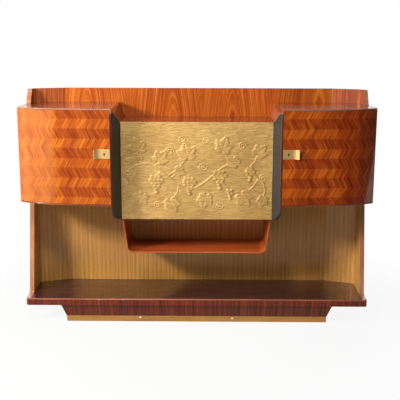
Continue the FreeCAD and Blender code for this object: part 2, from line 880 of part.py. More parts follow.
def trim_cheek(body, side):
    """Cuts the rounded nose and the slope that carries the shoulder."""
    start = x_bar - d.overrun if side > 0 else -(x_strip + d.overrun)
    nose = outline(body, "side", start, nose_corners())
    pocket(body, nose, x_strip - x_bar + d.overrun * 2, ahead=True)
    x_low = shoulder_x(z_deck) + d.shoulder_thick
    x_high = shoulder_x(z_top) + d.shoulder_thick
    slope = [(x_bar - d.overrun, z_deck), (x_low, z_deck), (x_high, z_top),
             (x_bar - d.overrun, z_top)]
    cut = outline(body, "front", y_front - d.overrun, mirrored(side, slope))
    pocket(body, cut, d.body_depth + d.overrun * 2)


def cheek(name, side):
    """Side of the bar compartment, splayed at the front, with a mortise for the lock bolt."""
    body = new_body(name + "_cheek")
    y_strip = y_front + d.strip_deep
    x_splay = x_mouth - (x_mouth - x_bar) * d.strip_deep / d.reveal_depth
    corners = [(x_splay, y_strip), (x_strip, y_strip), core_front()[0],
               (x_cheek, y_front + d.reveal_depth), (x_cheek, y_back), (x_bar, y_back),
               (x_bar, y_front + d.reveal_depth)]
    pad(body, outline(body, "top", z_flap, mirrored(side, corners)), z_ceiling - z_flap)
    trim_cheek(body, side)
    mortise = bolt_corners(d.bolt_clear, d.bolt_throw + d.mortise_play)
    high = d.bolt_high + d.bolt_clear * 2
    pocket(body, outline(body, "top", z_key + high / 2, mirrored(side, mortise)), high)


def edge_strip(name, side):
    """Narrow strip of the carcass wood on the cheek's front edge."""
    body = new_body(name + "_edge_strip")
    y_strip = y_front + d.strip_deep
    x_splay = x_mouth - (x_mouth - x_bar) * d.strip_deep / d.reveal_depth
    corners = [(x_mouth, y_front), (x_strip, y_front), (x_strip, y_strip), (x_splay, y_strip)]
    pad(body, outline(body, "top", z_flap, mirrored(side, corners)), z_ceiling - z_flap)
    trim_cheek(body, side)


def shoulder(name, side):
    """Sloping board between the cabinet top and the lower deck."""
    body = new_body(name + "_shoulder")
    x_low = shoulder_x(z_deck)
    x_high = shoulder_x(z_ceiling)
    corners = [(x_low, z_deck), (x_low + d.shoulder_thick, z_deck),
               (x_high + d.shoulder_thick, z_ceiling), (x_high, z_ceiling)]
    pad(body, outline(body, "front", y_front, mirrored(side, corners)), d.body_depth, back=True)
    splay = outline(body, "top", z_top, mirrored(side, splay_corners()))
    pocket(body, splay, z_top - z_deck + d.overrun)
    thick = d.door_thick + d.door_gap
    edge = [(x_strip, y_front - d.overrun), (x_out, y_front - d.overrun),
            (x_out, flat_y(x_out, thick)), (x_strip, flat_y(x_strip, thick))]
    pocket(body, outline(body, "top", z_top, mirrored(side, edge)), z_top - z_deck)


def bar_deck():
    """Lower top over the fall front, bored in its front edge for the ball catches."""
    body = new_body("bar_deck")
    corners = [(-x_bar, y_bar), (x_bar, y_bar), (x_bar, y_back), (-x_bar, y_back)]
    pad(body, outline(body, "top", z_deck - d.deck_thick, corners), d.deck_thick)
    for side in SIDES.values():
        x_catch = d.catch_pitch * side
        z_catch = z_deck - d.deck_thick / 2
        bore = round_outline(body, "front", y_bar, x_catch, z_catch, d.catch_radius)
        pocket(body, bore, d.catch_long)


def ball_catches():
    """Two ball catches that hold the fall front shut."""
    catches = []
    for side in SIDES.values():
        at = (d.catch_pitch * side, y_bar, z_deck - d.deck_thick / 2)
        barrel = rod("catch_barrel", "y", at, d.catch_radius, d.catch_long)
        ball = document.addObject("Part::Sphere", "catch_ball")
        ball.setExpression("Radius", d.catch_ball_radius.text)
        y_ball = y_flap_back + d.catch_ball_gap + d.catch_ball_radius
        place(ball, at[0], y_ball, at[2])
        catches.append(joined("catch", [barrel, ball]))
    group("ball_catches", catches)


def bar_floor():
    """Floor of the bar, coved under its front edge, with a slot for each quadrant stay."""
    body = new_body("bar_floor")
    profile = [(y_bar + d.flap_cove, z_flap), (y_back, z_flap), (y_back, z_flap + d.floor_thick),
               (y_bar, z_flap + d.floor_thick), (y_bar, z_flap + d.flap_cove)]
    pad(body, outline(body, "side", -x_bar, profile), d.bar_width)
    for side in SIDES.values():
        x_low, x_high = stay_span(side, d.slot_clear + (d.stop_long - d.stay_thick) / 2)
        y_low = y_axle + d.stay_radius - d.stay_wide - d.slot_clear
        y_high = y_axle + d.stay_radius + d.stay_wide / 2 + d.slot_clear
        corners = [(x_low, y_low), (x_high, y_low), (x_high, y_high), (x_low, y_high)]
        slot = outline(body, "top", z_flap + d.floor_thick, corners)
        pocket(body, slot, d.floor_thick)
    flap_mortises(body, y_bar)


def bar_mirror():
    low = (-x_bar + d.mirror_margin, y_back - d.mirror_thick,
           z_flap + d.floor_thick + d.mirror_margin)
    high = (x_bar - d.mirror_margin, y_back, z_deck - d.deck_thick - d.mirror_margin)
    piece("bar_mirror", block("bar_mirror", low, high))


def glass_shelf():
    z_glass = z_flap + d.floor_thick + d.glass_up
    y_end = y_back - d.mirror_thick - d.glass_gap
    low = (-x_bar + d.glass_gap, y_end - d.glass_deep, z_glass)
    high = (x_bar - d.glass_gap, y_end, z_glass + d.glass_thick)
    piece("glass_shelf", block("glass_shelf", low, high))
    studs = []
    for x_start in (-x_bar, x_bar - d.stud_length):
        for y_stud in (y_end - d.glass_deep + d.stud_length, y_end - d.stud_length):
            at = (x_start, y_stud, z_glass - d.stud_radius)
            studs.append(rod("glass_stud", "x", at, d.stud_radius, d.stud_length))
    group("glass_shelf_studs", studs)


# Fall front
y_axle = y_flap_back + d.joint_gap / 2
z_axle = z_flap + d.flap_barrel_radius


def flap_mortises(body, y_start):
    """Shallow recesses for the fall front's hinge leaves, cut backwards from y_start."""
    for x_hinge in hinge_middles():
        x_low = x_hinge - d.flap_hinge_long / 2
        x_high = x_hinge + d.flap_hinge_long / 2
        z_start = z_flap - d.overrun
        z_end = z_axle + d.flap_leaf_wide
        corners = [(x_low, z_start), (x_high, z_start), (x_high, z_end), (x_low, z_end)]
        pocket(body, outline(body, "front", y_start, corners), d.leaf_sink)


def hinge_middles():
    return [d.flap_hinge_pitch * side for side in SIDES.values()]


def flap_board():
    """The fall front's board, coved along its bottom edge for the hinge barrels."""
    body = new_body("flap_board")
    profile = [(y_flap, z_flap), (y_flap_back - d.flap_cove, z_flap),
               (y_flap_back, z_flap + d.flap_cove), (y_flap_back, z_deck), (y_flap, z_deck)]
    pad(body, outline(body, "side", -x_flap, profile), x_flap * 2)
    flap_mortises(body, y_flap_back - d.leaf_sink)


def relief_panel():
    """The gilded panel on the fall front. Its low relief stands within this thickness."""
    low = (-x_flap, y_relief, z_flap)
    piece("relief_panel", block("relief_panel", low, (x_flap, y_flap, z_deck)))


def flap_leaf(x_hinge, fixed):
    """One leaf of a fall-front hinge."""
    y_low = y_bar + d.leaf_sink - d.leaf_thick if fixed else y_flap_back - d.leaf_sink
    z_plate = z_axle + d.flap_barrel_radius + d.barrel_gap
    x_start = x_hinge - d.flap_hinge_long / 2
    x_end = x_hinge + d.flap_hinge_long / 2
    high = (x_end, y_low + d.leaf_thick, z_axle + d.flap_leaf_wide)
    parts = [block("flap_plate", (x_start, y_low, z_plate), high)]
    for number, (start, length) in enumerate(bank(KNUCKLES, d.flap_hinge_long)):
        if (number % 2 == 0) == fixed:
            x_low = x_start + start + d.knuckle_gap / 2
            long = length - d.knuckle_gap
            end = (x_low + long, y_low + d.leaf_thick, z_plate)
            parts.append(block("flap_tab", (x_low, y_low, z_axle), end))
            at = (x_low, y_axle, z_axle)
            parts.append(rod("flap_knuckle", "x", at, d.flap_barrel_radius, long))
    radius = d.flap_pin_radius if fixed else d.flap_pin_radius + d.pin_clearance
    at = (x_start - d.overrun, y_axle, z_axle)
    bore = rod("flap_bore", "x", at, radius, d.flap_hinge_long + d.overrun * 2)
    return less("flap_leaf", joined("flap_blank", parts), bore)


def flap_hinges():
    for label, fixed in (("flap_hinge_case_leaves", True), ("flap_hinge_leaves", False)):
        group(label, [flap_leaf(x_hinge, fixed) for x_hinge in hinge_middles()])
    pins = []
    for x_hinge in hinge_middles():
        at = (x_hinge - d.flap_hinge_long / 2, y_axle, z_axle)
        pins.append(rod("flap_pin", "x", at, d.flap_pin_radius, d.flap_hinge_long))
    group("flap_hinge_pins", pins)


def stay_span(side, extra):
    """The stay's extent across the cabinet, with `extra` on each face, low end first."""
    near = x_bar - d.stay_inset - d.stay_thick - extra
    far = x_bar - d.stay_inset + extra
    return (near, far) if side > 0 else (-far, -near)


def on_arc(radius, degrees):
    """A point of the stay at an angle back from upright, about the fall front's axis."""
    angle = math.radians(degrees)
    return y_axle + radius * math.sin(angle), z_axle + radius * math.cos(angle)


def stay_angle(reach):
    """The angle of a point that lies `reach` along the stay past the guide's front when it is open."""
    return STAY_SWING + math.degrees((reach / d.stay_radius).value)


stop_reach = d.guide_set + d.guide_deep + d.stop_radius + d.stop_gap


def quadrant_stay(name, side):
    """Brass quadrant with its foot plate and stop pin. It turns with the fall front."""
    inner = d.stay_radius - d.stay_wide / 2
    outer = d.stay_radius + d.stay_wide / 2
    end = stay_angle(stop_reach + d.stay_tail_long)
    x_low, x_high = stay_span(side, size(0))
    body = document.addObject("PartDesign::Body", name + "_quadrant")
    start_inner = (y_flap_back + d.stay_foot_thick, z_axle + inner)
    start_outer = (y_flap_back + d.stay_foot_thick, z_axle + outer)
    middle = end / 2
    corners = [(*start_outer, (outer, 1)), (*on_arc(outer, middle), (outer, 1)),
               on_arc(outer, end), (*on_arc(inner, end), (inner, -1)),
               (*on_arc(inner, middle), (inner, -1)), start_inner]
    pad(body, outline(body, "side", x_low, corners), x_high - x_low)
    x_mid = (x_low + x_high) / 2
    z_foot = z_axle + d.stay_radius - d.stay_foot_high / 2
    low = (x_mid - d.stay_foot_wide / 2, y_flap_back, z_foot)
    high = (x_mid + d.stay_foot_wide / 2, y_flap_back + d.stay_foot_thick,
            z_foot + d.stay_foot_high)
    foot = block(name + "_stay_foot", low, high)
    y_stop, z_stop = on_arc(d.stay_radius, stay_angle(stop_reach))
    at = (x_mid - d.stop_long / 2, y_stop, z_stop)
    stop = rod(name + "_stay_stop", "x", at, d.stop_radius, d.stop_long)
    return joined(name + "_stay", [body, foot, stop])


def stay_guide(name, side):
    """Guide block on the cheek. The quadrant runs through its slot."""
    slot_low, slot_high = stay_span(side, d.guide_clear)
    wall_low = slot_low - d.guide_wall if side > 0 else -x_bar
    wall_high = x_bar if side > 0 else slot_high + d.guide_wall
    y_low = y_axle + d.guide_set
    half = d.stay_wide / 2 + d.guide_clear
    z_mid = z_axle + d.stay_radius
    low = (wall_low, y_low, z_mid - half - d.guide_wall)
    high = (wall_high, y_low + d.guide_deep, z_mid + half + d.guide_wall)
    solid = block(name + "_guide_block", low, high)
    low = (slot_low, y_low - d.overrun, z_mid - half)
    high = (slot_high, y_low + d.guide_deep + d.overrun, z_mid + half)
    return less(name + "_guide", solid, block(name + "_guide_slot", low, high))


# Tray


def tray_half(inset, bottom):
    """Right half of the tray's outline in front view, from the top edge to the bottom."""
    lean = d.tray_lean / d.tray_drop
    norm = root(1 + lean * lean)
    turn = root((norm - lean) / (norm + lean))
    radius = d.tray_corner - inset
    run = radius * turn
    x_sharp = x_bar - d.tray_lean + lean * (bottom - z_tray) - inset * norm
    return radius, [(x_bar - inset * norm, z_flap), (x_sharp + run * lean / norm, bottom + run / norm),
                    (x_sharp - run, bottom)]


def tray():
    """U-shaped tray of bent wood under the bar, open at the front and the back."""
    body = new_body("tray")
    outer_corner, outer = tray_half(size(0), z_tray)
    inner_corner, inner = tray_half(d.tray_thick, z_tray + d.tray_thick)
    right = [(*outer[2], (outer_corner, -1)), outer[1], outer[0], inner[0],
             (*inner[1], (inner_corner, 1)), inner[2]]
    pad(body, outline(body, "front", y_tray, symmetric(right)), y_back - y_tray, back=True)


# The whole cabinet
base_board()
sub_plinth()
plinth_blocks()
bottom_slab()
back_panel()
for word, sign in SIDES.items():
    canted_panel(word, sign)
    side_wall(word, sign)
    cabinet_top(word, sign)
    cabinet_bottom(word, sign)
    outer_side(word, sign)
    shelf(word, sign)
    shelf_studs(word, sign)
    door_panel(word, sign)
    door_hinges(word, sign)
    pull(word, sign)
    lock(word, sign)
    cheek(word, sign)
    edge_strip(word, sign)
    shoulder(word, sign)
bar_deck()
ball_catches()
bar_floor()
bar_mirror()
glass_shelf()
flap_board()
relief_panel()
flap_hinges()
group("quadrant_stays", [quadrant_stay(word, sign) for word, sign in SIDES.items()])
group("stay_guides", [stay_guide(word, sign) for word, sign in SIDES.items()])
tray()
document.recompute()

faults = [thing.Name for thing in document.Objects if "Invalid" in thing.State or "Error" in thing.State]
for label, thing in pieces.items():
    if thing.Shape.isNull() or not thing.Shape.isValid():
        faults.append(label)
if faults:
    raise RuntimeError("not built: " + ", ".join(faults))
os.makedirs("parts", exist_ok=True)
for label, thing in pieces.items():
    thing.Shape.exportStep(os.path.join("parts", label + ".step"))
    print(label, len(thing.Shape.Solids), "solids", round(thing.Shape.Volume / 1000.0, 1), "cm3")
print(len(pieces), "pieces")
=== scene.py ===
# %% [markdown]
# # A bar cabinet with bowed doors
# The cabinet's structure comes from the CAD model, which Blender loads as a fixed frame.
# This script dresses that frame: it rounds the boards' edges, makes the curved doors and the
# carved gilded panel, and gives every surface a wood, brass, glass or gilt finish made of nodes.
# All lengths are in metres, with +X to the right, +Y to the back and +Z up.

# %% Load the frame
import bmesh
import bpy
import json
import math
from mathutils import Matrix, Vector, noise
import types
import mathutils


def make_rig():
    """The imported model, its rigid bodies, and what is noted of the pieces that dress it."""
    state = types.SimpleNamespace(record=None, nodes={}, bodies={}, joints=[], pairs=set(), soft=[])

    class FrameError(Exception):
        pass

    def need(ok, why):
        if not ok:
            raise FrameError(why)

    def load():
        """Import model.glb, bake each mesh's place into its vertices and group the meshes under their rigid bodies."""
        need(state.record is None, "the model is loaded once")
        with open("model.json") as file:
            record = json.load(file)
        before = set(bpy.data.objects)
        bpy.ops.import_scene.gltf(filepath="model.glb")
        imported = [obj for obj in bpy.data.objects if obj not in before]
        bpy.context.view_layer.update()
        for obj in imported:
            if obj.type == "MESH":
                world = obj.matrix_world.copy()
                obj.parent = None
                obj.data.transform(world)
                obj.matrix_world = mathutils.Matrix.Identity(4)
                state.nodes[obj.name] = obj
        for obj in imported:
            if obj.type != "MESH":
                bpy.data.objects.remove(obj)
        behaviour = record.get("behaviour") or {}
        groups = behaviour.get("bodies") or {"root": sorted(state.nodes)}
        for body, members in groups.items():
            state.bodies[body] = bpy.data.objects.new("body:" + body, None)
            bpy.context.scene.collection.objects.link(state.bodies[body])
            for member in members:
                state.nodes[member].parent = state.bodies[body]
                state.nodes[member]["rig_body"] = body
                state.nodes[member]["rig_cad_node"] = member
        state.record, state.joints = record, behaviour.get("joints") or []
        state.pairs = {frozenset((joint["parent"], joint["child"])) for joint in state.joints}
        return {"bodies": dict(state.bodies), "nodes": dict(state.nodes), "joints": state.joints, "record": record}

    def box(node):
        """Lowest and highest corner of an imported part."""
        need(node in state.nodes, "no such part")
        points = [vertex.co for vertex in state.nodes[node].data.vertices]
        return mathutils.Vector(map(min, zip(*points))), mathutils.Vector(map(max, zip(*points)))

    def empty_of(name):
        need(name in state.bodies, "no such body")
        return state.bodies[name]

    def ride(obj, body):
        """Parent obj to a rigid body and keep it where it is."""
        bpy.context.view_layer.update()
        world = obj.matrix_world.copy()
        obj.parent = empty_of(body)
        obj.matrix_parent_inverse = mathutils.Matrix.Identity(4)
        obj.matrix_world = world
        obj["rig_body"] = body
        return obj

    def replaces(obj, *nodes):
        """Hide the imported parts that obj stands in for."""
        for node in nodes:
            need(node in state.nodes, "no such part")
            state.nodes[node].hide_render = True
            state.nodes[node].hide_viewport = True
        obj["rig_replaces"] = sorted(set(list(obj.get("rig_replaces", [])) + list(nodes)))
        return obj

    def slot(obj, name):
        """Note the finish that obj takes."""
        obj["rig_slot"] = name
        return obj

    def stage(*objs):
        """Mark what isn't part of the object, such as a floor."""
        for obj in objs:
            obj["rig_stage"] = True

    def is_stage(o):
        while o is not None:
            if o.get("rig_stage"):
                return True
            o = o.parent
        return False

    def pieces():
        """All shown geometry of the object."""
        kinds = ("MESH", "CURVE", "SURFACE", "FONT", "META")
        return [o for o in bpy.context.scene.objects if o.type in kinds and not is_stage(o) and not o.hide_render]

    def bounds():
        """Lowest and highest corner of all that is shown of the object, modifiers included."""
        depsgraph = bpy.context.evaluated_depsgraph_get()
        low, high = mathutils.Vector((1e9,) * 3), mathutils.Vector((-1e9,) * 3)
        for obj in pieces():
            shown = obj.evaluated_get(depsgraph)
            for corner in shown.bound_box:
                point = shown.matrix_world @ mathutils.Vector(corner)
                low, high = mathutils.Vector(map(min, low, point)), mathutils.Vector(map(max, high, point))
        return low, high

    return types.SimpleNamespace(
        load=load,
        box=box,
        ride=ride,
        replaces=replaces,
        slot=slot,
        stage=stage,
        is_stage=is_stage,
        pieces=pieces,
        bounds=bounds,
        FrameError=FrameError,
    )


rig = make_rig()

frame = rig.load()
cad_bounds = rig.bounds()
SIDES = {"left": -1, "right": 1}
body_of_node = {node: body for body, nodes in frame["record"]["behaviour"]["bodies"].items()
                for node in nodes}
slot_of_node = {part["node"]: part["material_slot"] for part in frame["record"]["subparts"]}
print("loaded", len(frame["nodes"]), "nodes on", len(frame["bodies"]), "bodies")

# %% [markdown]
# ## Data and objects
# Blender keeps what a thing is, its mesh, lamp or camera data, apart from the object that puts
# it in the scene. Shapes are modelled in a bmesh, which one helper turns into mesh data. The
# other helper makes an object of any data.

# %% Mesh data and objects
def mesh_data(shape, name):
    mesh = bpy.data.meshes.new(name)
    shape.to_mesh(mesh)
    shape.free()
    return mesh


def new_object(name, data):
    thing = bpy.data.objects.new(name, data)
    bpy.context.scene.collection.objects.link(thing)
    return thing


print("helpers ready")

# %% [markdown]
# ## Camera
# A photograph's viewpoint is a position, a direction and a focal length. Those come from
# lines that are straight and level on the real cabinet, and they are written here as angles,
# so that each can be understood and changed alone.

# %% Place the camera
CAMERA_PLACE = Vector((0.0569, -4.2624, 1.5687))
CAMERA_PITCH = math.radians(12.27)
CAMERA_YAW = math.radians(0.51)
CAMERA_ROLL = math.radians(0.16)
CAMERA_LENS_MM = 72.07
CAMERA_SENSOR_MM = 36
CAMERA_SHIFT = -0.00125

forward = Vector((-math.sin(CAMERA_YAW) * math.cos(CAMERA_PITCH),
                  math.cos(CAMERA_YAW) * math.cos(CAMERA_PITCH), -math.sin(CAMERA_PITCH)))
level = Vector((math.cos(CAMERA_YAW), math.sin(CAMERA_YAW), 0))
upright = level.cross(forward)
right = math.cos(CAMERA_ROLL) * level + math.sin(CAMERA_ROLL) * upright
upward = math.cos(CAMERA_ROLL) * upright - math.sin(CAMERA_ROLL) * level
camera_data = bpy.data.cameras.new("camera")
camera_data.lens = CAMERA_LENS_MM
camera_data.sensor_width = CAMERA_SENSOR_MM
camera_data.shift_x = CAMERA_SHIFT
camera = new_object("camera", camera_data)
turn = Matrix((right, upward, -forward)).transposed().to_4x4()
camera.matrix_world = Matrix.Translation(CAMERA_PLACE) @ turn
bpy.context.scene.camera = camera
print("camera at", tuple(round(value, 3) for value in CAMERA_PLACE))

# %% [markdown]
# ## Light
# The photograph has one soft lamp high on the left, which brightens the left door's curve and
# throws the cabinets' shadows to the right. The area light `key` stands for it. Four weaker
# lamps open its shadows: one high in front, one far to the left, one low before the bay and
# one behind. The last three would show in the lacquer as pale squares, so they are hidden
# from glossy rays.

# %% Lamps
WARM_WHITE = (1.0, 0.98, 0.94)


def area_light(name, place, target, size, watts, colour=(1, 1, 1), mirrored=True):
    """A rectangular lamp that faces its target; size is its width and height."""
    lamp = bpy.data.lights.new(name, "AREA")
    lamp.shape = "RECTANGLE"
    lamp.size, lamp.size_y = size
    lamp.energy = watts
    lamp.color = colour
    holder = new_object(name, lamp)
    holder.location = place
    holder.rotation_euler = (Vector(target) - Vector(place)).to_track_quat("-Z", "Y").to_euler()
    holder.visible_glossy = mirrored
    return holder


lamps = [
    area_light("key", (-2.6, -1.8, 1.98), (-0.1, 0, 0.7), (0.75, 0.5), 121, WARM_WHITE),
    area_light("high_front", (-0.8, -1.9, 2.7), (0, 0, 0.6), (0.5, 0.5), 47),
    area_light("left_side", (-3.3, -0.4, 0.9), (0, 0, 0.7), (1.4, 1.8), 28, mirrored=False),
    area_light("low_front", (0.1, -2.6, 0.25), (0, 0.1, 0.45), (0.9, 0.4), 4, mirrored=False),
    area_light("behind", (1.6, 4.2, 2.4), (0, 0.2, 0.6), (2.0, 2.0), 60, mirrored=False),
]
print(len(lamps), "lamps")

# %% [markdown]
# ## A small kit for nodes
# A material is a graph of nodes, and so is the world. Written out link by link a graph is hard
# to read, so this class keeps the tree and offers one short call for each kind of node that
# the finishes need. `Finish` is such a graph in a new material.

# %% Node kit
class Graph:
    """The nodes of a material or of the world, under construction."""

    def __init__(self, owner):
        owner.use_nodes = True
        self.tree = owner.node_tree
        self.tree.nodes.clear()

    def node(self, kind, **settings):
        made = self.tree.nodes.new("ShaderNode" + kind)
        for key, value in settings.items():
            setattr(made, key, value)
        return made

    def feed(self, socket, value):
        """Links a socket's source, or sets a constant on it."""
        if isinstance(value, bpy.types.NodeSocket):
            self.tree.links.new(value, socket)
        elif value is not None:
            socket.default_value = value

    def math(self, operation, *values):
        made = self.node("Math", operation=operation)
        for socket, value in zip(made.inputs, values):
            self.feed(socket, value)
        return made.outputs[0]

    def plus(self, first, second):
        return self.math("ADD", first, second)

    def minus(self, first, second):
        return self.math("SUBTRACT", first, second)

    def times(self, first, second):
        return self.math("MULTIPLY", first, second)

    def times_plus(self, first, second, third):
        return self.math("MULTIPLY_ADD", first, second, third)

    def weigh(self, *shares, start=0.0):
        """The sum of several patterns, each given with its weight."""
        for pattern, weight in shares:
            start = self.times_plus(pattern, weight, start)
        return start

    def smooth_step(self, value, start, end, low=0.0, high=1.0):
        """Goes gently from low to high while the value goes from start to end."""
        made = self.node("MapRange", interpolation_type="SMOOTHSTEP")
        for socket, source in zip(made.inputs, (value, start, end, low, high)):
            self.feed(socket, source)
        return made.outputs[0]

    def in_oval(self, across, up, half_height, narrowness):
        """1 inside an upright oval about 0, and 0 outside it."""
        across = self.times(across, narrowness)
        square = self.plus(self.times(across, across), self.times(up, up))
        return self.math("LESS_THAN", square, half_height ** 2)

    def place(self):
        """The piece's own coordinates, in metres."""
        return self.node("TexCoord").outputs["Object"]

    def unwrapped(self):
        return self.node("UVMap").outputs["UV"]

    def split(self, vector):
        made = self.node("SeparateXYZ")
        self.feed(made.inputs[0], vector)
        return made.outputs

    def join(self, x=0.0, y=0.0, z=0.0):
        made = self.node("CombineXYZ")
        for socket, value in zip(made.inputs, (x, y, z)):
            self.feed(socket, value)
        return made.outputs[0]

    def stretch(self, vector, scale):
        made = self.node("Mapping")
        self.feed(made.inputs["Vector"], vector)
        made.inputs["Scale"].default_value = scale
        return made.outputs[0]

    def noise(self, vector, scale=1.0, detail=3.0, roughness=0.5, distortion=0.0):
        made = self.node("TexNoise")
        self.feed(made.inputs["Vector"], vector)
        made.inputs["Scale"].default_value = scale
        made.inputs["Detail"].default_value = detail
        made.inputs["Roughness"].default_value = roughness
        made.inputs["Distortion"].default_value = distortion
        return made.outputs["Fac"]

    def grain(self, place, scale, **settings):
        """Noise stretched or squeezed along each axis."""
        return self.noise(self.stretch(place, scale), **settings)

    def figure(self, across, up, density, layer=0.0, **settings):
        """Noise over two coordinates, each with its own density."""
        place = self.join(self.times(across, density[0]), self.times(up, density[1]), layer)
        return self.noise(place, **settings)

    def ramp(self, value, *stops):
        """A colour ramp of (position, colour) stops."""
        made = self.node("ValToRGB")
        self.feed(made.inputs[0], value)
        elements = made.color_ramp.elements
        while len(elements) < len(stops):
            elements.new(0.5)
        for element, (position, colour) in zip(elements, stops):
            element.position = position
            element.color = (*colour, 1)
        return made.outputs[0]

    def mix(self, factor, first, second):
        made = self.node("Mix", data_type="RGBA")
        self.feed(made.inputs["Factor"], factor)
        for socket, value in ((made.inputs[6], first), (made.inputs[7], second)):
            self.feed(socket, (*value, 1) if isinstance(value, tuple) else value)
        return made.outputs[2]

    def bump(self, height, distance, strength=1.0):
        made = self.node("Bump")
        made.inputs["Strength"].default_value = strength
        made.inputs["Distance"].default_value = distance
        self.feed(made.inputs["Height"], height)
        return made.outputs[0]


class Finish(Graph):
    """One node material under construction."""

    def __init__(self, name):
        self.material = bpy.data.materials.new(name)
        super().__init__(self.material)

    def surface(self, colour, normal, **settings):
        """The shader itself; settings name its sockets, with spaces as underscores."""
        shader = self.node("BsdfPrincipled")
        self.feed(shader.inputs["Base Color"], colour)
        self.feed(shader.inputs["Normal"], normal)
        for key, value in settings.items():
            self.feed(shader.inputs[key.replace("_", " ").title().replace("Ior", "IOR")], value)
        self.feed(self.node("OutputMaterial").inputs["Surface"], shader.outputs[0])
        return self.material


print("kit ready")

# %% [markdown]
# ## World
# The world is what a ray meets when it misses everything else. Diffuse rays get a low, even
# level, so that the lamps' shadows stay. Camera, glossy and transmission rays see a white
# studio, except that the room in front, behind the camera, is dim. Polished wood needs such a
# dim side: if all round it were white, the lacquer would lay a milky veil over the colour.

# %% World
DIFFUSE_LEVEL = 0.045
DIM_ROOM = 0.05
# the room turns from dim to white between these values of a direction's y or x
WHITE_BEHIND = (-0.05, 0.2)
WHITE_LEFT = (-0.36, -0.46)

scene = bpy.context.scene
scene.view_settings.view_transform = "Standard"
scene.world = bpy.data.worlds.new("studio")
studio = Graph(scene.world)
ray = studio.node("LightPath").outputs
x, y, z = studio.split(studio.node("TexCoord").outputs["Generated"])
pale = studio.math("MAXIMUM", studio.smooth_step(y, *WHITE_BEHIND),
                   studio.smooth_step(x, *WHITE_LEFT))
room = studio.times_plus(pale, 1 - DIM_ROOM, DIM_ROOM)
seen = studio.math("MAXIMUM", ray["Is Camera Ray"], ray["Is Transmission Ray"])
white = studio.math("MAXIMUM", seen, studio.times(ray["Is Glossy Ray"], room))
diffuse = studio.times(studio.minus(1.0, ray["Is Glossy Ray"]), DIFFUSE_LEVEL)
sky = studio.node("Background")
sky.inputs["Color"].default_value = (1, 1, 1, 1)
studio.feed(sky.inputs["Strength"], studio.math("MAXIMUM", white, diffuse))
studio.feed(studio.node("OutputWorld").inputs["Surface"], sky.outputs[0])
print("world at", DIFFUSE_LEVEL, "for diffuse rays")

# %% [markdown] ## Floor The cabinet stands on one wide sheet of white paper. The sheet starts
# just below the picture's lower edge: more of it in front would throw light up into the bay.
# Its finish is two shaders: a glow at a strength of 1, which is white, and near the cabinet a
# tenth of matt paper, which shows a faint shadow. Only camera, glossy and transmission rays
# see the glow, so no light comes from it.

# %% Floor sheet
FLOOR_FRONT = -1.6
FLOOR_HALF = 14

floor_mesh = bmesh.new()
bmesh.ops.create_grid(floor_mesh, x_segments=2, y_segments=2, size=FLOOR_HALF)
bmesh.ops.translate(floor_mesh, verts=floor_mesh.verts, vec=(0, FLOOR_FRONT + FLOOR_HALF, 0))
floor = new_object("floor", mesh_data(floor_mesh, "floor"))
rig.stage(floor)
print("floor from y", FLOOR_FRONT)

# %% The floor's finish
PAPER_TONES = ((0.0, (0.58, 0.575, 0.565)), (1.0, (0.62, 0.615, 0.605)))
FADE_REACH = (0.8, 1.9)
GLOW_NEAR = 0.905

paper = Finish("studio_floor")
grit = paper.noise(paper.place(), 3, 2)
matt = paper.node("BsdfDiffuse")
paper.feed(matt.inputs["Color"], paper.ramp(grit, *PAPER_TONES))
glow = paper.node("Emission")
glow.inputs["Strength"].default_value = 1.0
ray = paper.node("LightPath").outputs
reflected = paper.math("MAXIMUM", ray["Is Glossy Ray"], ray["Is Transmission Ray"])
watched = paper.math("MAXIMUM", ray["Is Camera Ray"], reflected)
reach = paper.node("VectorMath", operation="LENGTH")
paper.feed(reach.inputs[0], paper.place())
fade = paper.smooth_step(reach.outputs["Value"], *FADE_REACH, low=GLOW_NEAR)
blend = paper.node("MixShader")
for socket, source in zip(blend.inputs, (paper.times(watched, fade), matt.outputs[0],
                                         glow.outputs[0])):
    paper.feed(socket, source)
paper.feed(paper.node("OutputMaterial").inputs["Surface"], blend.outputs[0])
floor.data.materials.append(paper.material)
print("floor fades from", FADE_REACH[0], "to", FADE_REACH[1])

# %% [markdown]
# ## Polished wood
# All the veneers share one polish: a hard, clear, slightly wavy lacquer. In the shader that
# is a coat over a duller base. What differs is the figure, the pattern in the wood, so each
# veneer below works out a colour and hands it to the same `polished` function. Wood figure is
# noise that is stretched along the grain, at two scales: broad streaks and fine pores.

# %% The polish and the straight grain
PORE_DEPTH = 0.0004
GRAIN_ALONG = 1.6
GRAIN_THROUGH = 4.0
PORES_FINER = 14
BROAD_SHARE = 0.72
WORN_END = (0.42, 0.20, 0.12)


def polished(finish, colour, grain, gloss=0.06, coat=0.75, roughness=0.36, coat_ior=1.5):
    """Lacquered wood: faint pores in the bump, and a clear coat over them."""
    pores = finish.bump(grain, PORE_DEPTH, 0.25)
    return finish.surface(colour, pores, roughness=roughness, coat_weight=coat,
                          coat_roughness=gloss, coat_ior=coat_ior, specular_ior_level=0.2)


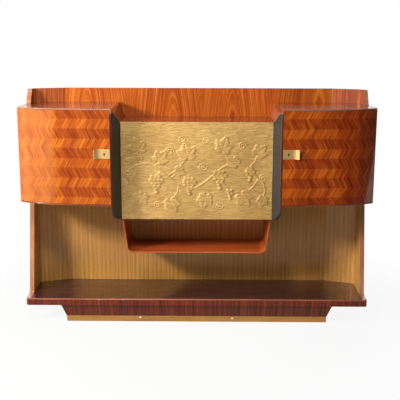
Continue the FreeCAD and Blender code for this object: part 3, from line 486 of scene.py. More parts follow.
def straight_veneer(name, dark, middle, light, grain_axis, streak, rim=0.0, **polish):
    """Veneer whose grain runs along one axis of the piece, paler at the ends past `rim`."""
    finish = Finish(name)
    scale = {"x": (GRAIN_ALONG, streak, streak),
             "y": (streak, GRAIN_ALONG, streak),
             "z": (streak, streak, GRAIN_ALONG),
             "front": (streak, GRAIN_THROUGH, GRAIN_ALONG)}[grain_axis]
    place = finish.place()
    broad = finish.grain(place, scale, detail=4, roughness=0.62, distortion=0.35)
    pores = finish.grain(place, [value * PORES_FINER for value in scale], detail=2)
    figure = finish.weigh((broad, BROAD_SHARE), (pores, 1 - BROAD_SHARE))
    colour = finish.ramp(figure, (0.34, dark), (0.5, middle), (0.66, light))
    if rim:
        past = finish.math("GREATER_THAN", finish.math("ABSOLUTE", finish.split(place)[0]), rim)
        colour = finish.mix(past, colour, WORN_END)
    return polished(finish, colour, pores, **polish)


# %% The straight-grained veneers
carcass_side = straight_veneer("carcass_veneer", (0.17, 0.035, 0.012), (0.36, 0.085, 0.025),
                               (0.52, 0.15, 0.05), "z", 30)
carcass_flat = straight_veneer("carcass_top_veneer", (0.12, 0.024, 0.008), (0.23, 0.047, 0.013),
                               (0.34, 0.080, 0.022), "x", 24, coat=1.0, gloss=0.02)
edging = straight_veneer("edging", (0.31, 0.115, 0.050), (0.40, 0.165, 0.080),
                         (0.47, 0.23, 0.12), "z", 40, coat=0.25, gloss=0.3, roughness=0.45)
# painted highlight: pale wood for the front lips of the tops and deck and the shoulders' arrises
lip_highlight_wood = straight_veneer("lip_highlight_veneer", (0.30, 0.125, 0.066), (0.37, 0.165, 0.092),
                           (0.44, 0.22, 0.13), "x", 40, coat=0.5, gloss=0.15)
wall_veneer = straight_veneer("wall_veneer", (0.20, 0.045, 0.015), (0.40, 0.11, 0.035),
                              (0.56, 0.19, 0.07), "z", 22)
dark_veneer = straight_veneer("dark_veneer", (0.045, 0.008, 0.003), (0.130, 0.021, 0.006),
                              (0.25, 0.044, 0.012), "front", 85, coat=0.05, gloss=0.3)
slab_top = straight_veneer("slab_top_veneer", (0.018, 0.005, 0.007), (0.034, 0.009, 0.013),
                           (0.054, 0.015, 0.020), "x", 20, rim=0.889,
                           coat=1.0, gloss=0.004, coat_ior=2.1)
# painted highlight: pale wood for the slab's eased edge round its top
slab_arris_highlight = straight_veneer("slab_arris_highlight", (0.20, 0.055, 0.03), (0.34, 0.11, 0.065),
                            (0.46, 0.17, 0.10), "x", 30)
tray_wood = straight_veneer("tray_wood", (0.26, 0.040, 0.009), (0.42, 0.080, 0.016),
                            (0.56, 0.13, 0.03), "x", 26, coat=0.4, gloss=0.12)
inner_wood = straight_veneer("inner_wood", (0.30, 0.15, 0.06), (0.45, 0.25, 0.11),
                             (0.56, 0.34, 0.17), "x", 22, coat=0.3, roughness=0.45)
shoulder_wood = straight_veneer("shoulder_veneer", (0.17, 0.038, 0.018), (0.32, 0.080, 0.034),
                                (0.48, 0.140, 0.062), "y", 24, coat=0.4, gloss=0.15)
strip_wood = straight_veneer("strip_veneer", (0.030, 0.008, 0.005), (0.065, 0.018, 0.010),
                             (0.12, 0.034, 0.020), "z", 30, coat=0.3, gloss=0.2)
print("straight veneers from", carcass_side.name, "to", strip_wood.name)

# %% [markdown]
# ## Flame veneer and ribbon stripe
# The back board carries two veneers. Above the cabinets it shows flame figure: nested arches
# from a log cut off-centre, mirrored leaf by leaf. An arch is a hyperbola, round at its top and
# straight down its sides, so the figure is noise across a nest of them, with x folded back and
# forth for each leaf. Below, in the open bay, quarter-cut wood gives a ribbon: soft upright
# stripes at an even pitch.

# %% Flame figure
LEAF_WIDTH = 0.40
LEAF_SEAM = -0.371
WHOLE_REPEATS = 10  # added before a wave, to keep what goes into it above 0
# an arch's place in its leaf, the slope of its sides and the reach of its round top
ARCH_PLACE = 0.236
ARCH_STEEP = 7.0
ARCH_ROUND = 0.045
ARCH_RISE = 0.75
ARCH_WOBBLE = 0.05
RING_DENSITY = 19
FLAME_TONES = ((0.39, (0.25, 0.034, 0.005)), (0.50, (0.42, 0.082, 0.009)),
               (0.61, (0.63, 0.185, 0.020)))


def flame_colour(finish, place):
    """Nested arches, mirrored at the seams between the leaves."""
    x, y, z = finish.split(place)
    shifted = finish.plus(x, LEAF_WIDTH * WHOLE_REPEATS - LEAF_SEAM)
    leaf = finish.minus(finish.math("PINGPONG", shifted, LEAF_WIDTH), ARCH_PLACE)
    square = finish.times_plus(leaf, finish.times(leaf, ARCH_ROUND ** -2), 1.0)
    wobble = finish.figure(x, z, (9, 5), detail=2)
    arch = finish.weigh((z, ARCH_RISE), (wobble, ARCH_WOBBLE),
                        (finish.math("SQRT", square), ARCH_STEEP * ARCH_ROUND))
    rings = finish.figure(arch, x, (RING_DENSITY, 2.5), detail=4, roughness=0.74)
    broad = finish.figure(x, z, (20, 2), detail=2)
    pores = finish.grain(place, (520, 1, 30), detail=1)
    figure = finish.weigh((rings, 0.68), (broad, 0.16), (pores, 0.16))
    return finish.ramp(figure, *FLAME_TONES), pores


print("flame leaves", LEAF_WIDTH, "wide")

# %% Ribbon stripe and corner figure
RIBBON_PITCH = 0.0245
RIBBON_DRIFT = 3.0
RIBBON_LIFT = 0.14
RIBBON_TONES = ((0.30, (0.32, 0.137, 0.026)), (0.50, (0.50, 0.238, 0.054)),
                (0.70, (0.70, 0.365, 0.100)))
CORNER_TONES = ((0.32, (0.20, 0.038, 0.011)), (0.5, (0.38, 0.080, 0.021)),
                (0.68, (0.54, 0.160, 0.044)))


def ribbon_colour(finish, place):
    """Upright stripes at an even pitch, which wander a little."""
    x, y, z = finish.split(place)
    drift = finish.grain(place, (5, 5, 0.9), detail=1)
    phase = finish.times_plus(drift, RIBBON_DRIFT, finish.times(x, math.tau / RIBBON_PITCH))
    streak = finish.grain(place, (240, 240, 5), detail=3)
    ticks = finish.grain(place, (420, 420, 120), detail=1)
    figure = finish.weigh((ticks, 0.3), (streak, 0.42), (finish.math("SINE", phase), 0.050),
                          start=RIBBON_LIFT)
    return finish.ramp(figure, *RIBBON_TONES), streak


def corner_colour(finish, place):
    """Plain upright streaks, for the canted panels above the cabinets."""
    streak = finish.grain(place, (110, 110, 1.6), detail=5, roughness=0.65)
    return finish.ramp(streak, *CORNER_TONES), streak


print("ribbon pitch", RIBBON_PITCH)

# %% The back's boards
BAY_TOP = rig.box("left_cabinet_bottom")[0][2]
SEAM_X, REAR_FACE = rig.box("back_panel")[1][:2]
CANT_OUTER, CANT_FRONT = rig.box("left_canted_panel")[0][:2]
BOARD_THICK = 0.02
REAR_SKIN = 0.004
PLAIN_TONES = ((0.35, (0.10, 0.048, 0.022)), (0.65, (0.19, 0.10, 0.05)))
cant_slope = (REAR_FACE - CANT_FRONT - BOARD_THICK) / (-SEAM_X - CANT_OUTER)


def board_of_two(name, figure_above):
    """One veneer above the bay's ceiling, ribbon stripe under it, and a plain rear."""
    finish = Finish(name)
    place = finish.place()
    upper, pores = figure_above(finish, place)
    ribbon, streak = ribbon_colour(finish, place)
    x, y, z = finish.split(place)
    above = finish.math("GREATER_THAN", z, BAY_TOP)
    past_seam = finish.math("MAXIMUM", finish.minus(finish.math("ABSOLUTE", x), SEAM_X), 0.0)
    depth = finish.times_plus(past_seam, cant_slope, y)
    rear = finish.math("GREATER_THAN", depth, REAR_FACE - REAR_SKIN)
    plain = finish.ramp(finish.grain(place, (14, 14, 90), detail=4), *PLAIN_TONES)
    face = finish.mix(rear, finish.mix(above, ribbon, upper), plain)
    return polished(finish, face, pores, coat=0.3, gloss=0.16)


back_board = board_of_two("flame_and_ribbon_veneer", flame_colour)
cant_board = board_of_two("corner_and_ribbon_veneer", corner_colour)
print("ribbon under z", round(BAY_TOP, 3), "and flame above it")

# %% [markdown]
# ## Zigzag veneer
# The doors are faced with level strips whose grain leans one way, then the other, matched so
# that each streak runs on as a zigzag. On a bowed door the pattern must follow the curve, so
# it reads the door's own unwrapped coordinates: u is the distance along the face from the
# opening edge, and v the height. A ping-pong wave of the height pushes u back and forth, and
# noise along the pushed u gives streaks that zigzag by themselves.

# %% Strips of the zigzag
STRIP_HIGH = 0.0505
STRIP_START = 0.706
STRIP_LEAN = math.tan(math.radians(28))
STRIP_SEAM = 0.012


def strip_waves(finish, v, sheen_strip):
    """How far the grain has swung, which strips are painted lighter as sheen, and where two strips meet."""
    height = finish.minus(v, STRIP_START - STRIP_HIGH * WHOLE_REPEATS)
    strip = finish.math("DIVIDE", height, STRIP_HIGH)
    swing = finish.times(finish.math("PINGPONG", strip, 1.0), STRIP_HIGH * STRIP_LEAN)
    parity = finish.math("MODULO", finish.math("FLOOR", strip), 2.0)
    light = parity if sheen_strip else finish.minus(1.0, parity)
    seam = finish.math("LESS_THAN", finish.math("PINGPONG", strip, 0.5), STRIP_SEAM)
    return swing, light, seam


print("zigzag strips", STRIP_HIGH, "high")

# %% Zigzag finish
KEY_U, KEY_V = 0.031, 0.932
KEYHOLE_HALF = 0.01
KEYHOLE_NARROW = 2.2
KEYHOLE_SHADE_BLACK = (0.004, 0.003, 0.003)
# both in u: the strips' painted sheen is weaker past the first, and over the second the tones change to the bow's
# painted light and shade
FLAT_END = 0.30
BOW_FADE = (0.285, 0.300)
BOW_SWING = 0.9
LESS_ON_BOW = 0.6
# painted sheen: how much lighter the strips that catch more light are painted
PAINTED_STRIP_SHEEN = 0.085
SEAM_SHADE = 0.45
RIPPLE_DEPTH = 0.0016
TONE_STOPS = (0.36, 0.5, 0.64)


def zigzag_veneer(name, seed, sheen_strip, flat_tones, painted_bow_tones):
    """Matched strips; a flag of 0 or 1 picks whichever strips catch more light, and those are painted lighter, a
    painted sheen.
    """
    finish = Finish(name)
    u, v = finish.split(finish.unwrapped())[:2]
    swing, light, seam = strip_waves(finish, v, sheen_strip)
    along = finish.minus(u, swing)
    broad = finish.figure(along, v, (24, 1.5), seed, detail=4, roughness=0.6)
    lines = finish.figure(along, v, (250, 16), seed, detail=2, roughness=0.6)
    threads = finish.figure(along, v, (105, 9), seed + 3, detail=1)
    ripple = finish.figure(along, v, (11, 4), seed, detail=1)
    matched = finish.minus(1.0, finish.times(finish.math("GREATER_THAN", u, FLAT_END), LESS_ON_BOW))
    # painted sheen: the strips that catch more light are painted lighter, less so on the bow
    lift = finish.times(finish.times(finish.minus(light, 0.5), PAINTED_STRIP_SHEEN), matched)
    figure = finish.weigh((broad, 0.36), (lines, 0.26), (threads, 0.38), start=lift)
    flat = finish.ramp(figure, *zip(TONE_STOPS, flat_tones))
    # painted light and shade: the bow takes its own tones in place of the flat's
    outer = finish.ramp(figure, *zip(TONE_STOPS, painted_bow_tones))
    bow = finish.smooth_step(finish.times_plus(swing, BOW_SWING, u), *BOW_FADE)
    colour = finish.mix(bow, flat, outer)
    colour = finish.mix(finish.times(seam, SEAM_SHADE), colour, flat_tones[0])
    # painted shade: a black oval on the veneer behind the pull's keyhole, so that the hole reads dark
    hole = finish.in_oval(finish.minus(u, KEY_U), finish.minus(v, KEY_V), KEYHOLE_HALF,
                          KEYHOLE_NARROW)
    colour = finish.mix(hole, colour, KEYHOLE_SHADE_BLACK)
    height = finish.weigh((ripple, 0.7), (lines, 0.05))
    return finish.surface(colour, finish.bump(height, RIPPLE_DEPTH, 0.5), roughness=0.34,
                          coat_weight=0.8, coat_roughness=0.045, specular_ior_level=0.2)


# each door: its flat tones, then its bow's tones, painted lighter on the left door, whose bow turns to the lamp, and
# darker on the right
door_finish = {
    "left": zigzag_veneer("left_door_veneer", 2.3, 1,
                          ((0.20, 0.025, 0.003), (0.35, 0.064, 0.006), (0.54, 0.145, 0.013)),
                          ((0.27, 0.052, 0.003), (0.40, 0.096, 0.006), (0.52, 0.150, 0.012))),
    "right": zigzag_veneer("right_door_veneer", 7.7, 0,
                           ((0.17, 0.018, 0.002), (0.36, 0.054, 0.004), (0.60, 0.135, 0.010)),
                           ((0.14, 0.012, 0.001), (0.33, 0.040, 0.002), (0.56, 0.110, 0.006))),
}
print("doors' veneers", list(door_finish))

# %% [markdown]
# ## Black wood and gilt
# Ebonised wood is a satin black with grain that only the light finds. The gilt is leaf over
# gesso: metal in colour, but soft and warm, with the level marks of the tools, whose light and
# shade are partly painted into its tone. Where it is chipped the white gesso shows.

# %% Ebonised wood and gilt
CHIP_RADIUS = 0.0085
CHIP_RAGGED = 0.006
GESSO = (0.80, 0.74, 0.62)


def ebonised_wood():
    finish = Finish("ebonised")
    grain = finish.grain(finish.place(), (90, 90, 3), detail=3)
    colour = finish.ramp(grain, (0.3, (0.011, 0.012, 0.014)), (0.7, (0.026, 0.028, 0.032)))
    return finish.surface(colour, finish.bump(grain, 0.0003, 0.4), roughness=0.55,
                          specular_ior_level=0.6)


def gilt(name, light, dark, across, metallic, roughness, chips=()):
    """Leaf over gesso; each chip is a place in x and z."""
    finish = Finish(name)
    place = finish.place()
    marks = finish.grain(place, across, detail=3, roughness=0.6, distortion=0.9)
    cloud = finish.grain(place, (5, 5, 5), detail=3)
    # the tool marks also make the bump, so their lighter and darker strokes are painted light and shade; the cloud is
    # the leaf's own uneven tone
    stroke_sheen_and_cloud = finish.weigh((cloud, 0.38), (marks, 0.62))
    middle = tuple((first + second) / 2 for first, second in zip(light, dark))
    colour = finish.ramp(stroke_sheen_and_cloud, (0.36, dark), (0.5, middle), (0.62, light))
    for x, z in chips:
        gap = finish.node("VectorMath", operation="DISTANCE")
        finish.feed(gap.inputs[0], finish.stretch(place, (1, 0, 1)))
        gap.inputs[1].default_value = (x, 0, z)
        ragged = finish.times_plus(marks, CHIP_RAGGED, gap.outputs["Value"])
        colour = finish.mix(finish.math("LESS_THAN", ragged, CHIP_RADIUS), colour, GESSO)
    return finish.surface(colour, finish.bump(marks, 0.0022, 0.8), metallic=metallic,
                          roughness=roughness)


ebonised = ebonised_wood()
relief_gilt = gilt("relief_gilt", (0.715, 0.44, 0.142), (0.40, 0.22, 0.057), (24, 24, 190),
                   0.25, 0.5)
base_gilt = gilt("base_gilt", (0.49, 0.235, 0.055), (0.36, 0.16, 0.033), (5, 5, 60),
                 0.4, 0.42, chips=((-0.305, 0.024), (0.194, 0.020)))
print("ebonised wood and two kinds of gilt")

# %% [markdown]
# ## Brass, steel and glass
# Brass and steel are plain metals whose fine scratches vary the roughness. The pulls are
# brass too, with painted shade round the keyhole: a black oval for the dark of the hole. Mirror
# and glass are one smooth shader with other settings: the mirror is a metal, and the glass lets light through.

# %% Metals
KEY_SET = 0.030
# painted shade round the keyhole: the black oval's half-height, its narrowness and its level
KEYHOLE_SHADE_HALF = 0.0070
KEYHOLE_SHADE_NARROW = 1.8
KEYHOLE_SHADE_Z = KEY_V - 0.001
key_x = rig.box("right_door_panel")[0][0] + KEY_SET


def metal(name, colour, shade, roughness, metallic=1.0, keyhole=False):
    """Polished metal with faint level scratches, painted black round the keyhole as shade if it has one."""
    finish = Finish(name)
    scratch = finish.grain(finish.place(), (60, 60, 900), detail=2)
    tone = finish.ramp(scratch, (0.3, shade), (0.7, colour))
    if keyhole:
        x, y, z = finish.split(finish.place())
        across = finish.minus(finish.math("ABSOLUTE", x), key_x)
        # painted shade: black round the keyhole, standing for the dark of the hole
        pull_keyhole_shade = finish.in_oval(across, finish.minus(z, KEYHOLE_SHADE_Z), KEYHOLE_SHADE_HALF, KEYHOLE_SHADE_NARROW)
        tone = finish.mix(pull_keyhole_shade, tone, (0.0, 0.0, 0.0))
        roughness = finish.times_plus(pull_keyhole_shade, 0.5, roughness)
    dull = finish.times_plus(scratch, 0.14, finish.minus(roughness, 0.07))
    return finish.surface(tone, finish.bump(scratch, 0.0001, 0.3), metallic=metallic,
                          roughness=dull)


brass = metal("satin_brass", (0.84, 0.60, 0.27), (0.72, 0.50, 0.20), 0.42)
pull_gold = metal("pull_gold", (0.80, 0.52, 0.20), (0.64, 0.40, 0.14), 0.40, 0.55, keyhole=True)
steel = metal("brushed_steel", (0.60, 0.60, 0.61), (0.48, 0.48, 0.49), 0.32)
print("keyholes at x", round(key_x, 3))


# %% Mirror and glass
def clear_finish(name, size, detail, deep, pale, **settings):
    """A smooth shader with a faint cloud in its colour."""
    finish = Finish(name)
    cloud = finish.grain(finish.place(), (size, size, size), detail=detail)
    tint = finish.ramp(cloud, (0.3, deep), (0.7, pale))
    return finish.surface(tint, None, **settings)


mirror_glass = clear_finish("silvering", 3, 3, (0.80, 0.83, 0.82), (0.90, 0.92, 0.91),
                            metallic=1.0, roughness=0.03)
shelf_glass = clear_finish("shelf_glass", 2, 1, (0.82, 0.93, 0.89), (0.88, 0.96, 0.93),
                           roughness=0.02, transmission_weight=1.0, ior=1.5)
print("mirror and glass")

# %% [markdown]
# ## Rounded boards
# A real board never has a knife edge: each arris is eased and catches a line of light. The
# CAD boards are exact and sharp, so each one that shows is copied, its loose triangles are
# merged back into flat faces, and its sharp edges are bevelled. The copy then stands for the
# CAD node, on the same body.

# %% A finished piece
def finished(name, mesh, body, slot_of, *materials, smooth=35):
    """Makes an object of a mesh, rides it on a body and gives it its finishes."""
    piece = new_object(name, mesh)
    for material in materials:
        mesh.materials.append(material)
    mesh.shade_smooth()
    mesh.set_sharp_from_angle(angle=math.radians(smooth))
    even = piece.modifiers.new("even_shading", "WEIGHTED_NORMAL")
    even.keep_sharp = True
    even.weight = 100
    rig.ride(piece, body)
    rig.replaces(piece, slot_of)
    record_slot = slot_of_node[slot_of]
    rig.slot(piece, record_slot)
    return piece


print("slots", sorted(set(slot_of_node.values())))

# %% A rounded copy of a board
SHARP = math.radians(25)
NEARLY_FLAT = math.radians(0.3)
SAME_PLACE = 1e-6


def ease_edges(shape, width):
    """Bevels the sharp edges of a mesh."""
    sharp = [edge for edge in shape.edges
             if len(edge.link_faces) == 2 and edge.calc_face_angle(0) > SHARP]
    bmesh.ops.bevel(shape, geom=sharp, offset=width, offset_type="OFFSET", segments=2,
                    profile=0.5, affect="EDGES", material=-1, clamp_overlap=True)


def eased(node, width, *materials, choose=None):
    """A copy of a CAD node, eased; `choose` picks one of its materials for each face."""
    shape = bmesh.new()
    shape.from_mesh(frame["nodes"][node].data)
    bmesh.ops.remove_doubles(shape, verts=shape.verts, dist=SAME_PLACE)
    bmesh.ops.dissolve_limit(shape, angle_limit=NEARLY_FLAT, verts=shape.verts,
                             edges=shape.edges)
    ease_edges(shape, width)
    for face in shape.faces:
        face.material_index = choose(face) if choose else 0
    mesh = mesh_data(shape, node + "_eased")
    return finished(node + "_eased", mesh, body_of_node[node], node, *materials)


BOARDS = {
    "sub_plinth": (0.0012, dark_veneer),
    "base_board": (0.0015, base_gilt),
    "bar_floor": (0.0008, inner_wood),
    "tray": (0.0018, tray_wood),
}
SIDE_BOARDS = {
    "cabinet_bottom": (0.0012, carcass_flat),
    "outer_side": (0.001, carcass_side),
    "cheek": (0.0008, ebonised),
    "edge_strip": (0.0006, strip_wood),
    "shelf": (0.0012, inner_wood),
}
for node, (width, material) in BOARDS.items():
    eased(node, width, material)
for side in SIDES:
    for kind, (width, material) in SIDE_BOARDS.items():
        eased(side + "_" + kind, width, material)
print(len(BOARDS) + 2 * len(SIDE_BOARDS), "boards eased")

# %% [markdown]
# ## Boards with more than one veneer
# A side wall is striped inside like the back, plain outside, and edged with a pale strip. The
# tops have a front lip painted pale as a highlight, and the shoulders between them a black
# front under an arris painted the same way. The floor slab has a dark, very glossy top, with
# its eased edge round the top painted pale as a highlight. Each face of the eased copy is
# asked where it looks, and takes its finish from that.

# %% Walls, tops, shoulders and the slab
# how much of a face's normal lies along an axis where the face counts as turned that way
TURNED = 0.3
TURNED_IN = 0.25
LEVEL = 0.95


def wall_face(side):
    """0 for the outside, 1 for the striped inside, 2 for the edging."""
    def choose(face):
        if abs(face.normal.x) < TURNED and face.normal.y < 0:
            return 2
        return 1 if face.normal.x * SIDES[side] < -TURNED_IN else 0
    return choose


def lip_highlight_face(face):
    """1 for the front lip and the arris over it, painted pale as a highlight, 0 for the rest."""
    return 1 if face.normal.y < -TURNED and -0.2 < face.normal.z < LEVEL else 0


def shoulder_face(face):
    """2 for the black front, cut to the cheek's splay, 1 for its arris, painted pale as a highlight, 0 for the rest.
    """
    if face.normal.y > -0.03:
        return 0
    return 1 if face.normal.z > 0.05 else 2


def slab_face(face):
    """0 for the top, 1 for the fronts, 2 for the eased edge round the top, painted pale as a highlight."""
    if face.normal.z > LEVEL:
        return 0
    return 2 if face.normal.z > TURNED else 1


for side in SIDES:
    eased(side + "_side_wall", 0.0018, wall_veneer, cant_board, edging, choose=wall_face(side))
    eased(side + "_cabinet_top", 0.0022, carcass_flat, lip_highlight_wood, choose=lip_highlight_face)
    eased(side + "_shoulder", 0.0024, shoulder_wood, lip_highlight_wood, ebonised, choose=shoulder_face)
eased("bar_deck", 0.0020, carcass_flat, lip_highlight_wood, choose=lip_highlight_face)
eased("bottom_slab", 0.0010, slab_top, dark_veneer, slab_arris_highlight, choose=slab_face)
print("walls, tops, shoulders and slab eased")

# %% [markdown]
# ## The bowed doors
# Seen from above, a door's face is a raked line that runs on into an arc, and its back is the
# same line and arc, one thickness in. The outline is built flat: straight edges between
# corners, and arcs turned by the spin operator. It is then filled, extruded to the door's
# height and eased. The unwrapped coordinates are written last, from each corner's place.

# %% Places of the door's outline
DOOR_THICK = 0.022
HEEL_WIDE = 0.032
HEEL_COVE = 0.007
BOW_WIDE = 0.205
TIP_BACK = 0.026
RAKE = 0.09
BOW_STEPS = 26
door_low, door_high = (Vector(corner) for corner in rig.box("right_door_panel"))
seam_x = door_low.x
bow_x = door_high.x - BOW_WIDE
heel_x = door_high.x - HEEL_WIDE
heel_y = door_high.y
slant = math.atan(RAKE)


def flat_face(x):
    """The door's front surface over its flat, as the y at x."""
    return door_low.y + RAKE * (x - seam_x)


bow_start = Vector((bow_x, flat_face(bow_x), 0))
bow_end = Vector((door_high.x, heel_y - TIP_BACK, 0))
chord = bow_end - bow_start
inward = Vector((-math.sin(slant), math.cos(slant), 0))
bow_radius = chord.length_squared / (2 * chord.dot(inward))
bow_centre = bow_start + inward * bow_radius
print("bow radius", round(bow_radius, 4), "from x", round(bow_x, 4))


# %% The outline as one face
def arc_of_points(shape, start, centre, end_x, steps):
    """Spins a vertex about a centre until it reaches end_x, and returns the vertices."""
    radius = (start - centre).length
    first = math.atan2(start.y - centre.y, start.x - centre.x)
    last = math.atan2(-math.sqrt(radius ** 2 - (end_x - centre.x) ** 2), end_x - centre.x)
    seed = shape.verts.new(start)
    bmesh.ops.spin(shape, geom=[seed], cent=centre, axis=(0, 0, 1), dvec=(0, 0, 0),
                   angle=last - first, steps=steps, use_duplicate=False)
    points = [seed] + [vert for vert in shape.verts if vert is not seed and not vert.tag]
    points.sort(key=lambda vert: vert.co.x)
    for vert in points:
        vert.tag = True
    return points


def door_outline(shape):
    """The door seen from above, at the height of its lower edge."""
    front = arc_of_points(shape, bow_start, bow_centre, door_high.x, BOW_STEPS)
    back = arc_of_points(shape, bow_start + inward * DOOR_THICK, bow_centre, heel_x, BOW_STEPS)
    seam = shape.verts.new((seam_x, flat_face(seam_x), 0))
    heel = [shape.verts.new(place) for place in ((door_high.x, heel_y - HEEL_COVE, 0),
                                                 (door_high.x - HEEL_COVE, heel_y, 0),
                                                 (heel_x, heel_y, 0))]
    inner = shape.verts.new((seam_x, flat_face(seam_x) + DOOR_THICK / math.cos(slant), 0))
    for edge in list(shape.edges):
        shape.edges.remove(edge)
    outline = shape.faces.new([seam] + front + heel + back[::-1] + [inner])
    for vert in shape.verts:
        vert.co.z = door_low.z
    return outline


print("outline has", 2 * BOW_STEPS, "steps of arc")

# %% Door solid
DOOR_EASE = 0.0012
FRONT_DEPTH = 0.01


def bow_length(x, y):
    """Distance along the door's face from its opening edge to the point nearest (x, y)."""
    if x <= bow_x:
        return (x - seam_x) / math.cos(slant)
    angle = math.atan2(x - bow_centre.x, bow_centre.y - y) - slant
    return (bow_x - seam_x) / math.cos(slant) + angle * bow_radius


def door(side, sign):
    """One door; the left one is the right one's mirror image."""
    shape = bmesh.new()
    made = bmesh.ops.extrude_face_region(shape, geom=[door_outline(shape)])
    lifted = [item for item in made["geom"] if isinstance(item, bmesh.types.BMVert)]
    bmesh.ops.translate(shape, verts=lifted, vec=(0, 0, door_high.z - door_low.z))
    bmesh.ops.recalc_face_normals(shape, faces=shape.faces)
    ease_edges(shape, DOOR_EASE)
    if sign < 0:
        bmesh.ops.scale(shape, verts=shape.verts, vec=(-1, 1, 1))
        bmesh.ops.reverse_faces(shape, faces=shape.faces)
    layer = shape.loops.layers.uv.new("UVMap")
    for face in shape.faces:
        in_front = face.calc_center_median().y < heel_y - FRONT_DEPTH
        face.material_index = 0 if face.normal.y < -TURNED and in_front else 1
        for corner in face.loops:
            place = corner.vert.co
            corner[layer].uv = (bow_length(abs(place.x), place.y), place.z)
    mesh = mesh_data(shape, side + "_door")
    return finished(side + "_door", mesh, side + "_door", side + "_door_panel",
                    door_finish[side], inner_wood, smooth=22)


for side, sign in SIDES.items():
    piece = door(side, sign)
    print(piece.name, len(piece.data.polygons), "faces")

# %% [markdown]
# ## The carved panel
# Low relief is a surface that stays within a few millimetres of flat, so it is best made as
# one fine grid whose points are pushed out. Each motif is a small function from a point to a
# height: a berry is half a ball, a stem is a round bead along a curve, and a leaf is five
# overlapping lobes with a groove down each. The highest motif at a point wins. The design is
# a fruiting vine, an old and common ornament for a drinks cabinet.

# %% Heights of berries, lobes and stems
BERRY_FOOT = 0.35
STEM_HEIGHT = 0.66
LOBE_EDGE = 9
LOBE_BASE = 0.62
LOBE_SWELL = 0.22
GROOVE_HALF = 0.045
GROOVE_DEPTH = 0.34
RIB_HEIGHT = 0.09
RIB_COUNT = 5.5
RIB_LEAN = 2.2


def berry(x, z, centre, radius):
    gap = math.hypot(x - centre[0], z - centre[1]) / radius
    return BERRY_FOOT + (1 - BERRY_FOOT) * math.sqrt(1 - gap * gap) if gap < 1 else 0.0


def lobe(x, z, root, angle, long, wide):
    """A pointed oval from its root, with a groove down its middle and ribs to each side."""
    dx = x - root[0]
    dz = z - root[1]
    along = (dx * math.cos(angle) + dz * math.sin(angle)) / long
    if not 0 < along < 1:
        return 0.0
    across = abs(dz * math.cos(angle) - dx * math.sin(angle)) / wide
    half = math.sin(math.pi * along ** 0.8) * 0.5
    if across >= half:
        return 0.0
    edge = min(1.0, (half - across) * LOBE_EDGE)
    groove = GROOVE_DEPTH if across < GROOVE_HALF else 0.0
    rib = RIB_HEIGHT * math.sin((along * RIB_COUNT - across * RIB_LEAN) * math.tau)
    return (LOBE_BASE + LOBE_SWELL * math.sin(math.pi * along) + rib) * edge - groove


def stem(x, z, first, last, radius):
    """A round bead along the line from first to last."""
    dx = last[0] - first[0]
    dz = last[1] - first[1]
    along = ((x - first[0]) * dx + (z - first[1]) * dz) / max(dx * dx + dz * dz, 1e-12)
    along = min(1.0, max(0.0, along))
    gap = math.hypot(x - first[0] - along * dx, z - first[1] - along * dz)
    return STEM_HEIGHT * math.sqrt(max(0.0, 1 - (gap / radius) ** 2))


print("three kinds of motif")

# %% [markdown]
# ## Leaves, bunches and tendrils
# The motifs are laid out one by one in shares of the panel's half-width and half-height, so the
# design would grow with the panel. A leaf's lobes, a bunch's berries and a tendril's turns
# are worked out from one place and a size, and each leaf and bunch gets a stalk to the
# nearest point of the long, waving stem.

# %% Groups of motifs
LEAF_LOBES = ((0.0, 1.0, 0.66), (0.85, 0.82, 0.54), (-0.85, 0.82, 0.54), (1.75, 0.56, 0.46),
              (-1.75, 0.56, 0.46))
ROW_FILL = 0.72
TOP_ROW_FILL = 0.45
# in a berry's radius: the pitch along a row, every other row's shift, the pitch of the rows
BERRY_PITCH = 1.72
ROW_SHIFT = 0.35
ROW_PITCH = 1.5
BERRIES_SHRINK = 0.025
CURL_STEPS = 14
CURL_TIGHTENS = 0.85


def leaf_lobes(centre, angle, long):
    """Five lobes that fan out from a leaf's stalk."""
    return [(centre, angle + turn, long * reach, long * wide)
            for turn, reach, wide in LEAF_LOBES]


def bunch_berries(top, rows, radius):
    """A tapering bunch of berries that hangs from its top."""
    found = []
    for row in range(rows):
        count = max(1, round((rows - row) * (ROW_FILL if row else TOP_ROW_FILL)))
        z = top[1] - row * radius * ROW_PITCH
        size = radius * (1 - BERRIES_SHRINK * row)
        for place in range(count):
            x = top[0] + (place - (count - 1) / 2) * radius * BERRY_PITCH
            found.append(((x + row % 2 * radius * ROW_SHIFT, z), size))
    return found


def curl(start, size, turns, hand):
    """Points of a tendril that winds inwards."""
    steps = int(turns * CURL_STEPS)
    points = []
    for step in range(steps + 1):
        share = step / steps
        angle = share * turns * math.tau * hand
        radius = size * (1 - share * CURL_TIGHTENS)
        points.append((start[0] + radius * math.cos(angle), start[1] + radius * math.sin(angle)))
    return points


print("a leaf has", len(LEAF_LOBES), "lobes")

# %% Relief layout
STEM_RADIUS = 0.0055
STALK_RADIUS = 0.0034
CURL_RADIUS = 0.0024
STALK_BOW = 0.012
# the main stem in shares: its left end, its length, its level, and its wave
VINE_LEFT = -0.88
VINE_LONG = 1.76
VINE_LEVEL = -0.10
VINE_SWING = 0.26
VINE_WAVES = 1.5
VINE_PHASE = 0.5
VINE_STEPS = 60
# each leaf: its place in shares, the angle of its middle lobe, its length
LEAF_SHARES = ((-0.76, 0.42, 1.9, 0.082), (-0.50, 0.22, 0.9, 0.074), (-0.34, -0.62, -1.2, 0.078),
               (-0.12, 0.30, 1.8, 0.086), (0.12, -0.52, -1.8, 0.074), (0.34, 0.44, 1.3, 0.082),
               (0.60, -0.50, -1.0, 0.080), (0.80, 0.36, 0.8, 0.070), (-0.72, -0.50, -2.1, 0.072),
               (0.52, 0.16, 2.5, 0.060), (-0.26, 0.02, -0.4, 0.056), (0.88, -0.56, -1.8, 0.054))
